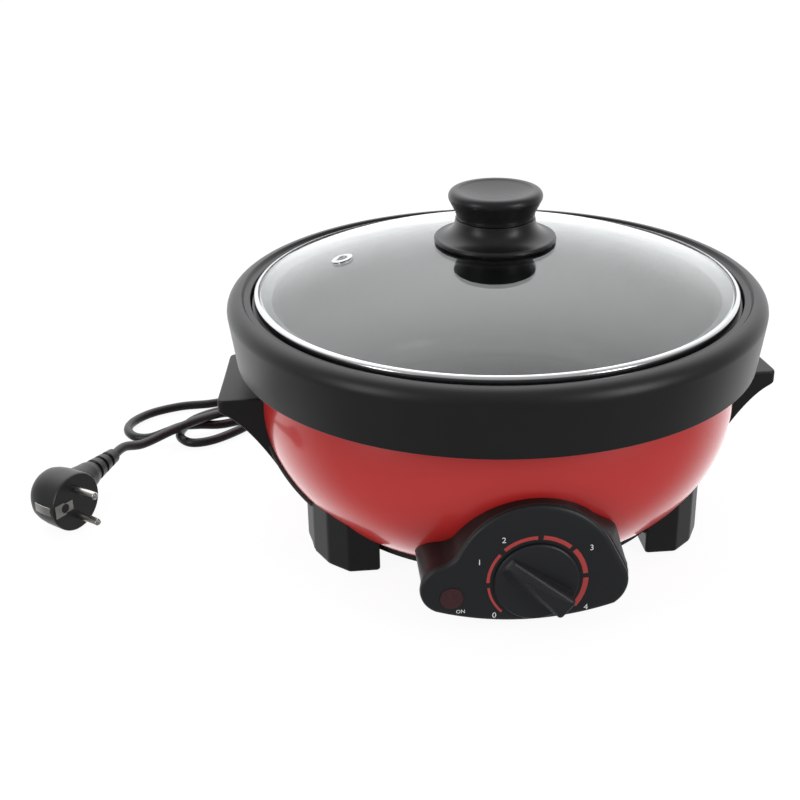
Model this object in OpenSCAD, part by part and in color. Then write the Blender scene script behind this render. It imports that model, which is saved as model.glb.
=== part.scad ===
// Electric hot pot: a steel bowl in a moulded frame, a pan hung in a broad rim
// ring, a loose domed glass lid, a control panel at the front and a mains lead.
// +Z is up, the panel faces -Y, and the origin lies on the worktop under the
// pot's axis. All sizes are in millimetres.

/* [Bowl] */
// Outer radius of the bowl at its widest
bowl_r = 150.8; // [146:0.2:156]
// Radius of the curve of the bowl's side
bowl_bulge_r = 86; // [82:1:92]
// Height from the bowl's flat bottom to its widest ring
bowl_low_h = 70; // [66:1:74]
// Height from the bowl's widest ring to its lip
bowl_high_h = 40; // [37:1:43]
// Thickness of the bowl's sheet steel
bowl_wall = 1.2; // [0.8:0.1:1.8]
// Height of the bowl's flat bottom above the worktop
bowl_clear = 16; // [15:0.5:20]
// Radius of the opening in the middle of the bowl's bottom
bowl_hole_r = 42; // [30:1:60]

/* [Rim ring] */
// Width of the rim ring from its inner lip to its outer side
ring_w = 16; // [14:0.1:21]
// Height of the rim ring's outer side
ring_h = 40.5; // [36:0.5:46]
// Radius of the ring's rounded top edge
ring_round = 9; // [6:0.5:11]
// Wall thickness of the ring
ring_wall = 3; // [2.4:0.1:4]
// Inward lean of the ring's side, in degrees
ring_draft = 9.5; // [4:0.5:13]
// Height of the ledge that carries the pan, above the bowl's lip
ring_ledge_h = 17.5; // [15:0.5:20]
// Height of the inner lip above the ledge
ring_lip_h = 6; // [5:0.5:8]
// Width of the flat inner lip
ring_lip_w = 4; // [3:0.5:5]
// Height of the raised step outside the lip
ring_step_h = 2; // [1:0.5:3]
// Number of ribs inside the ring
ring_ribs = 12; // [8:1:16]
// Thickness of a rib
ring_rib_t = 2; // [1.6:0.1:3]

/* [Pan] */
// How far the pan's flange reaches past the bowl's widest ring
pan_flange_out = 1; // [0.4:0.2:2.2]
// Thickness of the pan's flange
pan_flange_t = 2.5; // [2:0.1:3]
// Width of the pan's flange
pan_flange_w = 11.3; // [10.3:0.1:15]
// Height of the pan from its underside to the top of its flange
pan_h = 94; // [84:1:98]
// Wall thickness of the pan
pan_wall = 2.5; // [2:0.1:3.2]
// Thickness of the pan's floor
pan_floor_t = 3; // [2.4:0.1:4]
// Outer radius of the curve between wall and floor
pan_round = 18; // [12:1:26]
// Inward lean of the pan's wall, in degrees
pan_draft = 8.5; // [5:0.5:11]

/* [Lid] */
// Gap round the lid inside the ring's lip
lid_gap = 2.3; // [1.7:0.1:3.7]
// Height of the lid's steel rim
lid_rim_h = 6; // [5.4:0.2:7]
// Radius of the glass dome's sphere
dome_r = 387; // [360:1:430]
// Thickness of the glass
glass_t = 4; // [3.6:0.1:4.4]
// Thickness of the rim's folded steel
rim_t = 0.6; // [0.5:0.1:0.8]
// Width of the rim's fold over the top of the glass
rim_top_w = 2.7; // [2:0.1:4]
// Width of the rim's fold under the glass
rim_under_w = 5.5; // [4.6:0.1:6]
// Distance of the steam vent from the lid's axis
vent_dist = 94.7; // [80:0.5:110]
// Direction of the steam vent seen from above, in degrees
vent_az = 176; // [150:1:200]
// Radius of the vent's hole
vent_hole_r = 3.4; // [2.4:0.1:3.8]
// Outer radius of the vent's flange
vent_flange_r = 6.7; // [6:0.1:8]
// Wall thickness of the vent's tube
vent_wall = 1.2; // [0.8:0.1:1.4]

/* [Knob] */
// Radius of the knob's flared foot
knob_foot_r = 37.7; // [34:0.1:42]
// Radius of the knob's neck
knob_neck_r = 24.6; // [22:0.1:26]
// Radius of the knob's top
knob_top_r = 28.9; // [27.5:0.1:32]
// Height of the seam between foot and cap above the glass
knob_seam_h = 12.9; // [12:0.1:15]
// Height of the cap
knob_cap_h = 17.5; // [16:0.5:20]
// Radius of the cap's rounded top edge
knob_edge_r = 4; // [3:0.5:5]
// Radius of the knob foot's rounded edge
knob_lip_r = 1.8; // [1.2:0.1:2.2]
// Radius of the dish in the cap's top
knob_dish_r = 21; // [18:0.5:22]
// Depth of the dish in the cap's top
knob_dish_d = 3.5; // [2:0.5:4]
// Radius of the knob's screw
knob_screw_r = 2.5; // [2:0.1:3]

/* [Base] */
// Distance of the base cover's edge inside the bowl's flat bottom
base_in = 1.26; // [0.8:0.02:4]
// Height of the base cover
base_h = 4.5; // [4:0.1:5.5]
// Thickness of the base cover's plate
base_plate_t = 2.4; // [2:0.1:3]
// Number of slots in the base cover
base_slots = 20; // [12:1:24]
// Length of a slot in the base cover
base_slot_l = 22; // [16:1:26]
// Width of a slot in the base cover
base_slot_w = 3.2; // [2.4:0.1:4]

/* [Feet] */
// Distance of a foot's outer end inside the bowl's widest ring, sideways
foot_set_in = 25.8; // [23:0.2:30]
// Width of a foot
foot_w = 43; // [40:0.5:45]
// Width of the slanted part of a foot's front
foot_nose_w = 25; // [22:0.5:28]
// Distance of a foot's front face from the pot's cross plane
foot_front_y = 87; // [85:0.5:90]
// Distance of a foot's outer end from the cross plane
foot_out_y = 54; // [50:0.5:60]
// Distance of a foot's back face from the cross plane
foot_back_y = 44; // [42:0.5:46]
// Radius of the curve at a foot's outer lower edge
foot_round = 19; // [15:0.5:22]
// Radius of a rubber pad
pad_r = 7.5; // [6:0.5:8]
// Thickness of a rubber pad
pad_t = 2.5; // [2:0.1:3]
// How far a pad stands out of its foot
pad_out = 1; // [0.6:0.1:1.4]

/* [Handles] */
// Height of the handles' flat tops above the worktop
ear_top_z = 94; // [90:0.5:98]
// How far a handle's front corner stands out past the bowl's widest ring
ear_reach = 25.7; // [21:0.1:33]
// How much further in a handle's back corner lies
ear_skew = 7; // [2:0.5:9]
// Distance of a handle's front edge from the cross plane
ear_front_y = 30; // [27:0.5:34]
// Distance of a handle's back edge from the cross plane
ear_back_y = 46; // [40:0.5:50]
// Thickness of a handle's outer edge
ear_edge_t = 8; // [6.5:0.5:10]
// Drop of a handle's underside from its edge to the bowl
ear_drop = 24; // [20:1:26]
// Wall thickness of a handle
ear_wall = 3.2; // [2.6:0.1:4]
// Thickness of the arms that run down the bowl
arm_t = 2.2; // [1.8:0.1:3]
// Height of the arms' lower ends above the worktop
arm_low_z = 36; // [33:0.5:38]
// Radius of the arch between a handle's two arms
arm_arch_r = 54; // [50:1:57]
// Distance between the two screws of a handle
ear_screw_gap = 36; // [30:1:42]

/* [Control panel] */
// How far the panel's face stands out past the bowl's widest ring
panel_out = 9.2; // [7.6:0.1:11]
// Height of the dial's centre above the worktop
dial_z = 33.5; // [32.5:0.1:35]
// Radius of the panel's round top about the dial
panel_top_r = 47; // [44:0.5:50]
// Distance of the panel's left end from the dial
panel_left = 65.5; // [62:0.5:68]
// Distance of the panel's right end from the dial
panel_right = 52.8; // [50:0.2:55]
// Radius of the panel's left end
panel_left_r = 14; // [12:0.5:15]
// Radius of the panel's right end
panel_right_r = 14.5; // [12.5:0.5:15]
// Radius of the hollow where the left shoulder flares out
panel_flare_r = 16; // [12:1:20]
// Radius of the panel's long lower edge
panel_sag_r = 180; // [160:5:220]
// Lowest height of the panel above the worktop
panel_low_z = 7.4; // [7:0.1:8]
// Wall thickness of the control housing
housing_wall = 2.5; // [2:0.1:3]
// Thickness of the panel's face plate
face_t = 3; // [2.6:0.1:3.6]
// Softening of the face plate's front edge
face_edge = 1.6; // [0.8:0.1:2]
// Radius of the pilot lens
lens_r = 6.75; // [6:0.05:7.2]
// Distance of the pilot lens from the dial, sideways
lens_x = 47.5; // [46:0.5:49]
// Height of the pilot lens above the worktop
lens_z = 25.4; // [24.6:0.1:27]

/* [Dial] */
// Radius of the dial
dial_r = 24; // [22:0.1:24.6]
// Thickness of the dial's disc
dial_t = 3.2; // [2.8:0.1:4]
// Height of the grip above the disc
grip_h = 8.6; // [6:0.1:9]
// Width of the grip's narrow pointing end
grip_tip_w = 8; // [6:0.5:9]
// Width of the grip's broad end
grip_tail_w = 15; // [12:0.5:17]
// Turn of the pointer from straight up, clockwise negative, in degrees
dial_turn = 50; // [30:1:60]
// Radius of the thermostat's shaft
shaft_r = 3; // [2.5:0.1:3.2]
// Depth of the thermostat's body
stat_d = 13; // [11:0.5:13.5]
// Width of the thermostat's body
stat_w = 34; // [28:1:36]
// Height of the thermostat's body
stat_h = 26; // [22:1:28]

/* [Heater] */
// Radius of the heating ring
heat_r = 75; // [68:1:82]
// Radius of the heating tube
heat_tube_r = 4; // [3.4:0.1:4.4]
// Width of a clamp on the heating ring
clamp_w = 12; // [9:1:15]
// Radius of the temperature sensor's can
sensor_r = 9; // [7:0.5:11]
// Height of the temperature sensor's can
sensor_h = 12; // [9:0.5:14]
// Radius of the thermal fuse
fuse_r = 2.2; // [1.8:0.1:2.6]
// Length of the thermal fuse
fuse_l = 14; // [11:1:16]

/* [Mains lead] */
// Diameter of the lead
cord_d = 6.5; // [6:0.1:7]
// Direction of the lead's gland seen from above, in degrees
gland_az = 132; // [128:1:134]
// Height of the lead's gland above the worktop
gland_z = 50; // [48:0.5:52]
// Length of the gland's flexible tail
gland_tail_l = 22; // [19:0.5:25]
// Radius of the plug's round face
plug_r = 19.5; // [18.5:0.1:19.5]
// Depth of the plug's round part
plug_d = 20; // [17:0.5:24]
// Distance between the plug's pins
pin_gap = 19; // [19:0.1:19.2]
// Diameter of a plug pin
pin_d = 4.8; // [4.6:0.1:4.9]
// Length of a plug pin
pin_l = 19; // [18.5:0.1:19.5]

/* [Clearances] */
// Clearance between moulded parts and the bowl
shell_gap = 0.2; // [0.1:0.05:0.4]
// Clearance of the pan's flange inside the ring's lip
pan_gap = 0.5; // [0.4:0.05:0.7]
// Clearance between the lid's glass and its steel rim
glass_gap = 0.1; // [0.06:0.01:0.2]
// Gap behind the dial's disc
dial_gap = 0.6; // [0.4:0.05:0.8]
// Radial running clearance of the thermostat's shaft
shaft_gap = 0.05; // [0.03:0.01:0.08]
// Clearance of a screw's shank in a hole it passes
screw_gap = 0.15; // [0.1:0.05:0.3]
// Radius of the case screws
screw_r = 1.8; // [1.5:0.1:2]
// Radius of the case screws' heads
screw_head_r = 3.6; // [3.2:0.1:3.8]
// Height of the case screws' heads
screw_head_h = 2.2; // [1.8:0.1:2.4]

/* [Hidden] */
$fn = 96;
eps = 0.01;

// Heights that follow from the sizes above
bowl_wide_z = bowl_clear + bowl_low_h;
bowl_top_z = bowl_wide_z + bowl_high_h;
bowl_cx = bowl_r - bowl_bulge_r;
ledge_z = bowl_top_z + ring_ledge_h;
lip_z = ledge_z + ring_lip_h;
ring_top_z = lip_z + ring_step_h;
ring_low_z = ring_top_z - ring_h;
pan_flange_r = bowl_r + pan_flange_out;
pan_top_r = pan_flange_r - pan_flange_w;
lip_r = pan_flange_r + pan_gap;
ring_r = lip_r + ring_w;
lid_r = lip_r - lid_gap;
pan_top_z = ledge_z + pan_flange_t;
pan_low_z = pan_top_z - pan_h;
lid_seat_z = pan_top_z;
dome_z = lid_seat_z + lid_rim_h - sqrt(pow(dome_r + glass_gap + rim_t, 2) - pow(lid_r, 2));
glass_top_z = dome_z + dome_r;
glass_r = lid_r - rim_t - glass_gap;
base_z = bowl_clear - base_h;
foot_out_x = bowl_r - foot_set_in;
foot_in_x = foot_out_x - foot_w;
foot_crease_x = foot_out_x - foot_nose_w;
ear_front_x = bowl_r + ear_reach;
ear_back_x = ear_front_x - ear_skew;
panel_y = bowl_r + panel_out;
foot_low_z = pad_out;
face_back = panel_y - face_t;
seam_z = glass_top_z + knob_seam_h;
cap_top_z = seam_z + knob_cap_h;

// Radius of the bowl's outside at a height
function bowl_at(z) = bowl_cx + sqrt(pow(bowl_bulge_r, 2) - pow(z - bowl_wide_z, 2));
base_r = bowl_at(bowl_clear) - base_in;
// Height of a sphere about the dome's centre at a distance from the axis
function dome_at(r, at) = dome_z + sqrt(pow(r, 2) - pow(at, 2));

// ---- shared forms ----

// Half outline of the solid inside the bowl's surface, grown by off
module bowl_outline(off, lo, hi) {
  intersection() {
    translate([0, lo]) square([bowl_r + off + 5, hi - lo]);
    union() {
      translate([bowl_cx, bowl_wide_z]) circle(r = bowl_bulge_r + off);
      translate([0, lo]) square([bowl_cx, hi - lo]);
    }
  }
}
module bowl_solid(off, lo, hi) { rotate_extrude() bowl_outline(off, lo, hi); }
// What moulded parts are cut back to, so that they sit round the bowl
module bowl_cut() {
  bowl_solid(shell_gap, bowl_clear, bowl_top_z);
}
// Extrudes an outline drawn in X and Z from Y = from towards -Y
module along_y(from, len) {
  translate([0, from, 0]) rotate([90, 0, 0]) linear_extrude(height = len) children();
}
// A screw standing up with its head at the bottom, seat at the origin
module screw_up(len, r = screw_r, hr = screw_head_r, hh = screw_head_h) {
  cylinder(r = r, h = len);
  translate([0, 0, -hh]) cylinder(r = hr, h = hh);
}
module all_four(p) {
  for (sx = [-1, 1]) for (sy = [-1, 1]) translate([sx * p[0], sy * p[1], 0]) children();
}

// ---- bowl ----

cover_screw = [foot_in_x + 7, foot_back_y - 12];
foot_screw = [foot_in_x + 7.5, foot_back_y + 10.5];
// How far a screw's tip reaches past the sheet that it holds
screw_bite = 5;
seat_hole_r = screw_r + screw_gap;

function ear_screw_y(i) = (ear_back_y - ear_front_y) / 2 + (i - 0.5) * ear_screw_gap;
ear_screw_z = ear_top_z - 12;
// Where the flat seat of a handle screw's head meets the curved wall inside
function ear_screw_x(i) = sqrt(pow(bowl_at(ear_screw_z) - bowl_wall, 2)
  - pow(abs(ear_screw_y(i)) + screw_head_r, 2)) - 0.15;

module outer_bowl() {
  color("firebrick") difference() {
    rotate_extrude() union() {
      difference() {
        bowl_outline(0, bowl_clear, bowl_top_z);
        bowl_outline(-bowl_wall, bowl_clear + bowl_wall, bowl_top_z + 1);
      }
      translate([bowl_at(bowl_top_z) - bowl_wall, bowl_top_z - bowl_wall])
        square([lip_r - bowl_at(bowl_top_z) + bowl_wall, bowl_wall]);
    }
    translate([0, 0, bowl_clear - 1]) cylinder(r = bowl_hole_r, h = bowl_wall + 2);
    all_four(cover_screw) translate([0, 0, bowl_clear - 1])
      cylinder(r = seat_hole_r, h = bowl_wall + 2);
    all_four(foot_screw) translate([0, 0, bowl_clear - 1])
      cylinder(r = seat_hole_r, h = bowl_wall + 2);
    for (s = [0, 1]) mirror([s, 0, 0]) for (i = [0, 1])
      translate([bowl_at(ear_screw_z) - 14, ear_screw_y(i), ear_screw_z])
        rotate([0, 90, 0]) cylinder(r = seat_hole_r, h = 20);
    at_gland() translate([0, 0, -8]) cylinder(r = gland_hole_r, h = 16);
    // way for the thermostat's leads
    translate([stat_w / 2 - 5, -panel_y + 4, bowl_clear + 30]) rotate([-90, 0, 0])
      cylinder(r = 5, h = 40);
  }
}

// ---- rim ring ----

// The top edge's radius, no more than the ring's top leaves room for
ring_edge = min(ring_round, ring_w - ring_lip_w - 2);
ring_cx = ring_r - ring_edge;
ring_cz = ring_top_z - ring_edge;
wall_in = lip_r - ring_wall;
// Point of the ring's side at a height, for a skin that lies d inside the outer one
function side_at(d, z) = ring_cx + (ring_edge - d) / cos(ring_draft)
  - (ring_cz - z) * tan(ring_draft);
// The outer half of a round edge
module edge_half(q) {
  intersection() {
    translate([ring_cx, ring_cz]) circle(r = q);
    translate([ring_cx, ring_cz - q]) square([q + 1, 2 * q]);
  }
}
module ring_outline() {
  polygon([[wall_in, bowl_top_z], [wall_in, ledge_z], [lip_r, ledge_z], [lip_r, lip_z],
    [lip_r + ring_lip_w, lip_z], [lip_r + ring_lip_w + 1.5, ring_top_z], [ring_cx, ring_top_z],
    [ring_cx + ring_edge * cos(ring_draft), ring_cz - ring_edge * sin(ring_draft)],
    [side_at(0, ring_low_z), ring_low_z], [lip_r + ring_wall, ring_low_z],
    [lip_r + ring_wall, bowl_top_z]]);
  edge_half(ring_edge);
}
module ring_hollow() {
  q = ring_edge - ring_wall;
  polygon([[lip_r, ring_low_z - 1], [lip_r, ledge_z - ring_wall],
    [lip_r + ring_wall, ledge_z - ring_wall], [lip_r + ring_wall, lip_z - ring_wall],
    [lip_r + ring_wall + 1.5, ring_top_z - ring_wall], [ring_cx, ring_top_z - ring_wall],
    [ring_cx + q * cos(ring_draft), ring_cz - q * sin(ring_draft)],
    [side_at(ring_wall, ring_low_z - 1), ring_low_z - 1]]);
  edge_half(q);
}
module rim_ring() {
  color([0.09, 0.09, 0.1]) union() {
    rotate_extrude() difference() { ring_outline(); ring_hollow(); }
    for (i = [0 : ring_ribs - 1]) rotate([0, 0, (i + 0.5) * 360 / ring_ribs])
      along_y(ring_rib_t / 2, ring_rib_t) polygon([[lip_r + ring_wall / 2, bowl_top_z],
        [side_at(ring_wall / 2, bowl_top_z), bowl_top_z], [side_at(ring_wall / 2, ring_cz - 1), ring_cz - 1],
        [lip_r + ring_wall / 2, ring_cz - 1]]);
  }
}

// ---- pan ----

// Half outline of a round pan: top radius, top height, lean, floor height, corner radius
module pan_form(r0, z0, zb, q) {
  zc = zb + q;
  xc = r0 - (z0 - zc) * tan(pan_draft) - q / cos(pan_draft);
  polygon([[0, zb], [xc, zb], [xc, zc], [xc + q * cos(pan_draft), zc - q * sin(pan_draft)],
    [r0, z0], [0, z0]]);
  translate([xc, zc]) circle(r = q);
}
module cooking_pan() {
  skin = pan_wall / cos(pan_draft);
  color([0.13, 0.13, 0.14]) rotate_extrude() difference() {
    union() {
      pan_form(pan_top_r, pan_top_z, pan_low_z, pan_round);
      translate([0, ledge_z]) square([pan_flange_r, pan_flange_t]);
    }
    pan_form(pan_top_r - skin + tan(pan_draft), pan_top_z + 1, pan_low_z + pan_floor_t,
      pan_round - pan_wall);
  }
}

// ---- lid ----

rim_in = lid_r - rim_under_w;
vent_tilt = asin(vent_dist / dome_r);
// Puts children on the glass at the vent, their Z square to the dome
module at_vent() {
  translate([0, 0, dome_z]) rotate([0, 0, vent_az]) rotate([0, vent_tilt, 0])
    translate([0, 0, dome_r]) children();
}
module dome_band(r_out, r_in, from, to) {
  intersection() {
    difference() {
      translate([0, dome_z]) circle(r = r_out, $fn = 360);
      translate([0, dome_z]) circle(r = r_in, $fn = 360);
    }
    translate([from, lid_seat_z - 2 * lid_rim_h]) square([to - from, glass_top_z - lid_seat_z + 4 * lid_rim_h]);
  }
}
module lid_glass() {
  color([0.75, 0.8, 0.82, 0.35]) difference() {
    rotate_extrude() dome_band(dome_r, dome_r - glass_t, 0, glass_r);
    translate([0, 0, glass_top_z - 8]) cylinder(r = knob_screw_r + 1, h = 16);
    at_vent() translate([0, 0, -8]) cylinder(r = vent_hole_r + vent_wall + 0.1, h = 16);
  }
}
module lid_rim_band() {
  top = dome_r + glass_gap;
  under = dome_r - glass_t - glass_gap;
  color([0.78, 0.78, 0.79]) rotate_extrude() union() {
    dome_band(top + rim_t, top, lid_r - rim_top_w, lid_r);
    difference() {
      dome_band(under, under - rim_t, rim_in, lid_r);
      translate([rim_in - 1, lid_seat_z - 20]) square([rim_under_w + 2, 20]);
    }
    translate([lid_r - rim_t, lid_seat_z]) square([rim_t, dome_at(top, lid_r) - lid_seat_z + rim_t / 2]);
  }
}
module vent_eyelet() {
  tube = vent_hole_r + vent_wall;
  color([0.8, 0.8, 0.8]) at_vent() rotate_extrude() union() {
    translate([vent_hole_r, -glass_t - 0.9]) square([vent_wall, glass_t + 1.5]);
    translate([vent_hole_r, 0]) square([vent_flange_r - vent_hole_r, 0.8]);
    translate([vent_hole_r, -glass_t - 0.9]) square([tube + 1.2 - vent_hole_r, 0.8]);
  }
}

// ---- knob ----

module knob_skirt() {
  flare = knob_foot_r - knob_lip_r - knob_neck_r;
  lip_top = seam_z - flare;
  color([0.1, 0.1, 0.11]) difference() {
    rotate_extrude() difference() {
      union() {
        translate([0, dome_z + dome_r - 10]) square([knob_foot_r - knob_lip_r, seam_z - glass_top_z + 10]);
        translate([knob_foot_r - knob_lip_r, lip_top - knob_lip_r]) circle(r = knob_lip_r);
        translate([0, lip_top - knob_lip_r - 10]) square([knob_foot_r - knob_lip_r, 10]);
      }
      translate([knob_foot_r - knob_lip_r, seam_z]) circle(r = flare);
      translate([knob_foot_r - knob_lip_r - 0.01, lip_top + 0.01]) square([10, 30]);
      translate([9, 0]) square([knob_neck_r - 4 - 9, glass_top_z + 5]);
    }
    translate([0, 0, dome_z]) sphere(r = dome_r, $fn = 200);
    translate([0, 0, glass_top_z - 10]) cylinder(r = knob_screw_r + screw_gap, h = 60);
  }
}
module knob_cap() {
  cz = cap_top_z - knob_edge_r;
  cx = knob_top_r - knob_edge_r;
  dish = (pow(knob_dish_r, 2) + pow(knob_dish_d, 2)) / (2 * knob_dish_d);
  color([0.1, 0.1, 0.11]) difference() {
    rotate_extrude() difference() {
      union() {
        polygon([[0, seam_z], [knob_neck_r - 0.3, seam_z], [knob_neck_r - 0.3, seam_z + 4.5],
          [cx + knob_edge_r * cos(25), cz - knob_edge_r * sin(25)], [cx, cap_top_z], [0, cap_top_z]]);
        translate([cx, cz]) circle(r = knob_edge_r);
      }
      translate([8, seam_z - 1]) square([knob_neck_r - 4.5 - 8, 8]);
    }
    translate([0, 0, cap_top_z - knob_dish_d + dish]) sphere(r = dish, $fn = 160);
    translate([0, 0, seam_z - 1]) cylinder(r = knob_screw_r, h = 10);
  }
}
washer_r = 9;
washer_t = 1.5;
washer_z = glass_top_z - glass_t - washer_t - 0.12;
module knob_washer() {
  color([0.2, 0.2, 0.2]) translate([0, 0, washer_z]) difference() {
    cylinder(r = washer_r, h = washer_t);
    translate([0, 0, -1]) cylinder(r = knob_screw_r + screw_gap, h = washer_t + 2);
  }
}
module knob_screw() {
  color([0.75, 0.75, 0.76]) translate([0, 0, washer_z])
    screw_up(seam_z + 8 - washer_z, knob_screw_r, 5, 2.6);
}

// ---- base ----

slot_mid_r = 68;
module base_cover() {
  color([0.1, 0.1, 0.1]) difference() {
    union() {
      rotate_extrude() union() {
        translate([0, base_z]) square([base_r, base_plate_t]);
        translate([base_r - 2.5, base_z]) square([2.5, base_h]);
      }
      all_four(cover_screw) translate([0, 0, base_z]) cylinder(r = 5, h = base_h);
      all_four(foot_screw) translate([0, 0, base_z]) cylinder(r = 5, h = base_h);
    }
    all_four(cover_screw) translate([0, 0, base_z - 1]) cylinder(r = seat_hole_r, h = base_h + 2);
    all_four(foot_screw) translate([0, 0, base_z - 1]) cylinder(r = seat_hole_r, h = base_h + 2);
    for (sx = [-1, 1]) translate([sx * tongue_screw_x, -tongue_screw_y, base_z - 1])
      cylinder(r = seat_hole_r, h = base_h + 2);
    for (i = [0 : base_slots - 1]) rotate([0, 0, (i + 0.5) * 360 / base_slots])
      translate([slot_mid_r - base_slot_l / 2, -base_slot_w / 2, base_z - 1])
        cube([base_slot_l, base_slot_w, base_plate_t + 2]);
  }
}
module base_screws() {
  color([0.7, 0.7, 0.7]) {
    all_four(cover_screw) translate([0, 0, base_z]) screw_up(base_h + bowl_wall + screw_bite);
    for (sx = [-1, 1]) translate([sx * tongue_screw_x, -tongue_screw_y, tongue_seat_z])
      screw_up(base_z + base_plate_t - tongue_seat_z + 1, hh = 1.6);
  }
}

// ---- feet ----

pad_at = [foot_in_x + 11.5, foot_front_y - 12];
foot_bore_r = screw_head_r + 0.8;
foot_seat_z = base_z - 6.5;
// The front right foot; the others are mirrored
module foot() {
  difference() {
    intersection() {
      translate([0, 0, foot_low_z]) linear_extrude(height = bowl_low_h)
        polygon([[foot_in_x, -foot_front_y], [foot_crease_x, -foot_front_y],
          [foot_out_x, -foot_out_y], [foot_out_x, -foot_back_y], [foot_in_x, -foot_back_y]]);
      along_y(-foot_back_y + 1, foot_front_y - foot_back_y + 2) union() {
        translate([foot_in_x - 1, 0]) square([foot_out_x - foot_round - foot_in_x + 1, 62]);
        translate([foot_in_x, foot_low_z + foot_round]) square([foot_out_x - foot_in_x, 62]);
        translate([foot_out_x - foot_round, foot_low_z + foot_round]) circle(r = foot_round);
      }
    }
    bowl_cut();
    translate([0, 0, base_z]) cylinder(r = base_r + shell_gap, h = base_h + eps);
    translate([pad_at[0], -pad_at[1], foot_low_z - 1]) cylinder(r = pad_r, h = 1 + pad_t - pad_out);
    translate([foot_screw[0], -foot_screw[1], 0]) cylinder(r = foot_bore_r, h = foot_seat_z);
    translate([foot_screw[0], -foot_screw[1], 0]) cylinder(r = seat_hole_r, h = bowl_low_h);
  }
}
module foot_front_right() { color([0.1, 0.1, 0.1]) foot(); }
module foot_front_left() { color([0.1, 0.1, 0.1]) mirror([1, 0, 0]) foot(); }
module foot_rear_right() { color([0.1, 0.1, 0.1]) mirror([0, 1, 0]) foot(); }
module foot_rear_left() { color([0.1, 0.1, 0.1]) mirror([1, 0, 0]) mirror([0, 1, 0]) foot(); }
module foot_pads() { color([0.2, 0.2, 0.2]) all_four(pad_at) cylinder(r = pad_r, h = pad_t); }
module foot_screws() {
  color([0.7, 0.7, 0.7]) all_four(foot_screw) translate([0, 0, foot_seat_z])
    screw_up(bowl_clear + bowl_wall + screw_bite - foot_seat_z);
}

// ---- handles ----

ear_low_z = ear_top_z - ear_edge_t;
ear_root_x = bowl_r - 2;
// Side view of the two arms, drawn in Y and Z, front towards -Y
module arms_side() {
  difference() {
    polygon([[-ear_front_y, ear_top_z], [-ear_front_y, ear_low_z], [-42, ear_top_z - 15.5],
      [-49, ear_top_z - 26], [-61, ear_top_z - 34], [-75, ear_top_z - 42], [-foot_front_y, arm_low_z + 6],
      [-foot_front_y, arm_low_z], [foot_front_y, arm_low_z], [foot_front_y, arm_low_z + 6],
      [77, ear_top_z - 42], [66, ear_top_z - 34], [57, ear_top_z - 26], [51, ear_top_z - 15.5],
      [ear_back_y, ear_low_z], [ear_back_y, ear_top_z]]);
    translate([0, 6]) circle(r = arm_arch_r);
  }
}
// Outline of the ear seen from above, drawn in X and Y
module ear_plan(d) {
  polygon([[bowl_r - 20, -ear_front_y + d], [ear_front_x - 3 - d, -ear_front_y + d],
    [ear_front_x - d, -ear_front_y + 3 + d], [ear_back_x - d, ear_back_y - 4 - d],
    [ear_back_x - 4 - d, ear_back_y - d], [bowl_r - 20, ear_back_y - d]]);
}
// Outline of the ear seen from the front, drawn in X and Z
module ear_front(d) {
  polygon([[bowl_r - 20, ear_top_z - d], [ear_front_x + 5 - d, ear_top_z - d],
    [ear_front_x + 5 - d, ear_low_z + d / 2], [ear_front_x - d * 0.6, ear_low_z + d / 2],
    [ear_root_x - d * 0.6, ear_low_z - ear_drop + d / 2], [bowl_r - 20, ear_low_z - ear_drop + d / 2]]);
}
module ear_block(d) {
  intersection() {
    translate([0, 0, ear_top_z - 60]) linear_extrude(height = 70) ear_plan(d);
    along_y(ear_back_y + 5, ear_back_y + ear_front_y + 10) ear_front(d);
  }
}
// The right handle; the left one is its mirror image
module handle() {
  difference() {
    union() {
      difference() { ear_block(0); ear_block(ear_wall); }
      intersection() {
        bowl_solid(shell_gap + arm_t, arm_low_z, ear_top_z);
        translate([bowl_cx, 0, 0]) rotate([90, 0, 90]) linear_extrude(height = bowl_bulge_r + 20) arms_side();
      }
      for (i = [0, 1]) translate([bowl_r - 4, ear_screw_y(i), ear_screw_z])
        rotate([0, 90, 0]) cylinder(r = 4.6, h = 12);
    }
    bowl_cut();
    for (i = [0, 1]) translate([bowl_r - 20, ear_screw_y(i), ear_screw_z])
      rotate([0, 90, 0]) cylinder(r = screw_r, h = 26);
    for (s = [0, 1]) mirror([0, s, 0]) translate([0, 0, -10]) linear_extrude(height = arm_low_z + 20)
      polygon([[foot_in_x, -foot_front_y - 1], [foot_crease_x, -foot_front_y - shell_gap],
        [foot_out_x + shell_gap, -foot_out_y - shell_gap], [foot_out_x + shell_gap, -foot_back_y + shell_gap],
        [foot_in_x, -foot_back_y + shell_gap]]);
  }
}
module handle_right() { color([0.1, 0.1, 0.1]) handle(); }
module handle_left() { color([0.1, 0.1, 0.1]) mirror([1, 0, 0]) handle(); }
module handle_screws() {
  color([0.7, 0.7, 0.7]) for (s = [0, 1]) mirror([s, 0, 0]) for (i = [0, 1])
    translate([ear_screw_x(i), ear_screw_y(i), ear_screw_z]) rotate([0, 90, 0])
      screw_up(bowl_r + 5 - ear_screw_x(i));
}

// ---- control panel ----

panel_a = [0, dial_z];
panel_c = [-panel_left + panel_left_r, dial_z - 6];
panel_b = [panel_right - panel_right_r, dial_z - 7];
function dist(p, q) = norm(p - q);
// Centre of a circle that touches two others from outside, on the upper side
function meet(p, rp, q, rq) =
  let (d = dist(p, q), a = (rp * rp - rq * rq + d * d) / (2 * d), h = sqrt(rp * rp - a * a),
    u = (q - p) / d)
  p + a * u + h * [u[1], -u[0]];
panel_f = meet(panel_a, panel_top_r + panel_flare_r, panel_c, panel_left_r + panel_flare_r);
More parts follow.
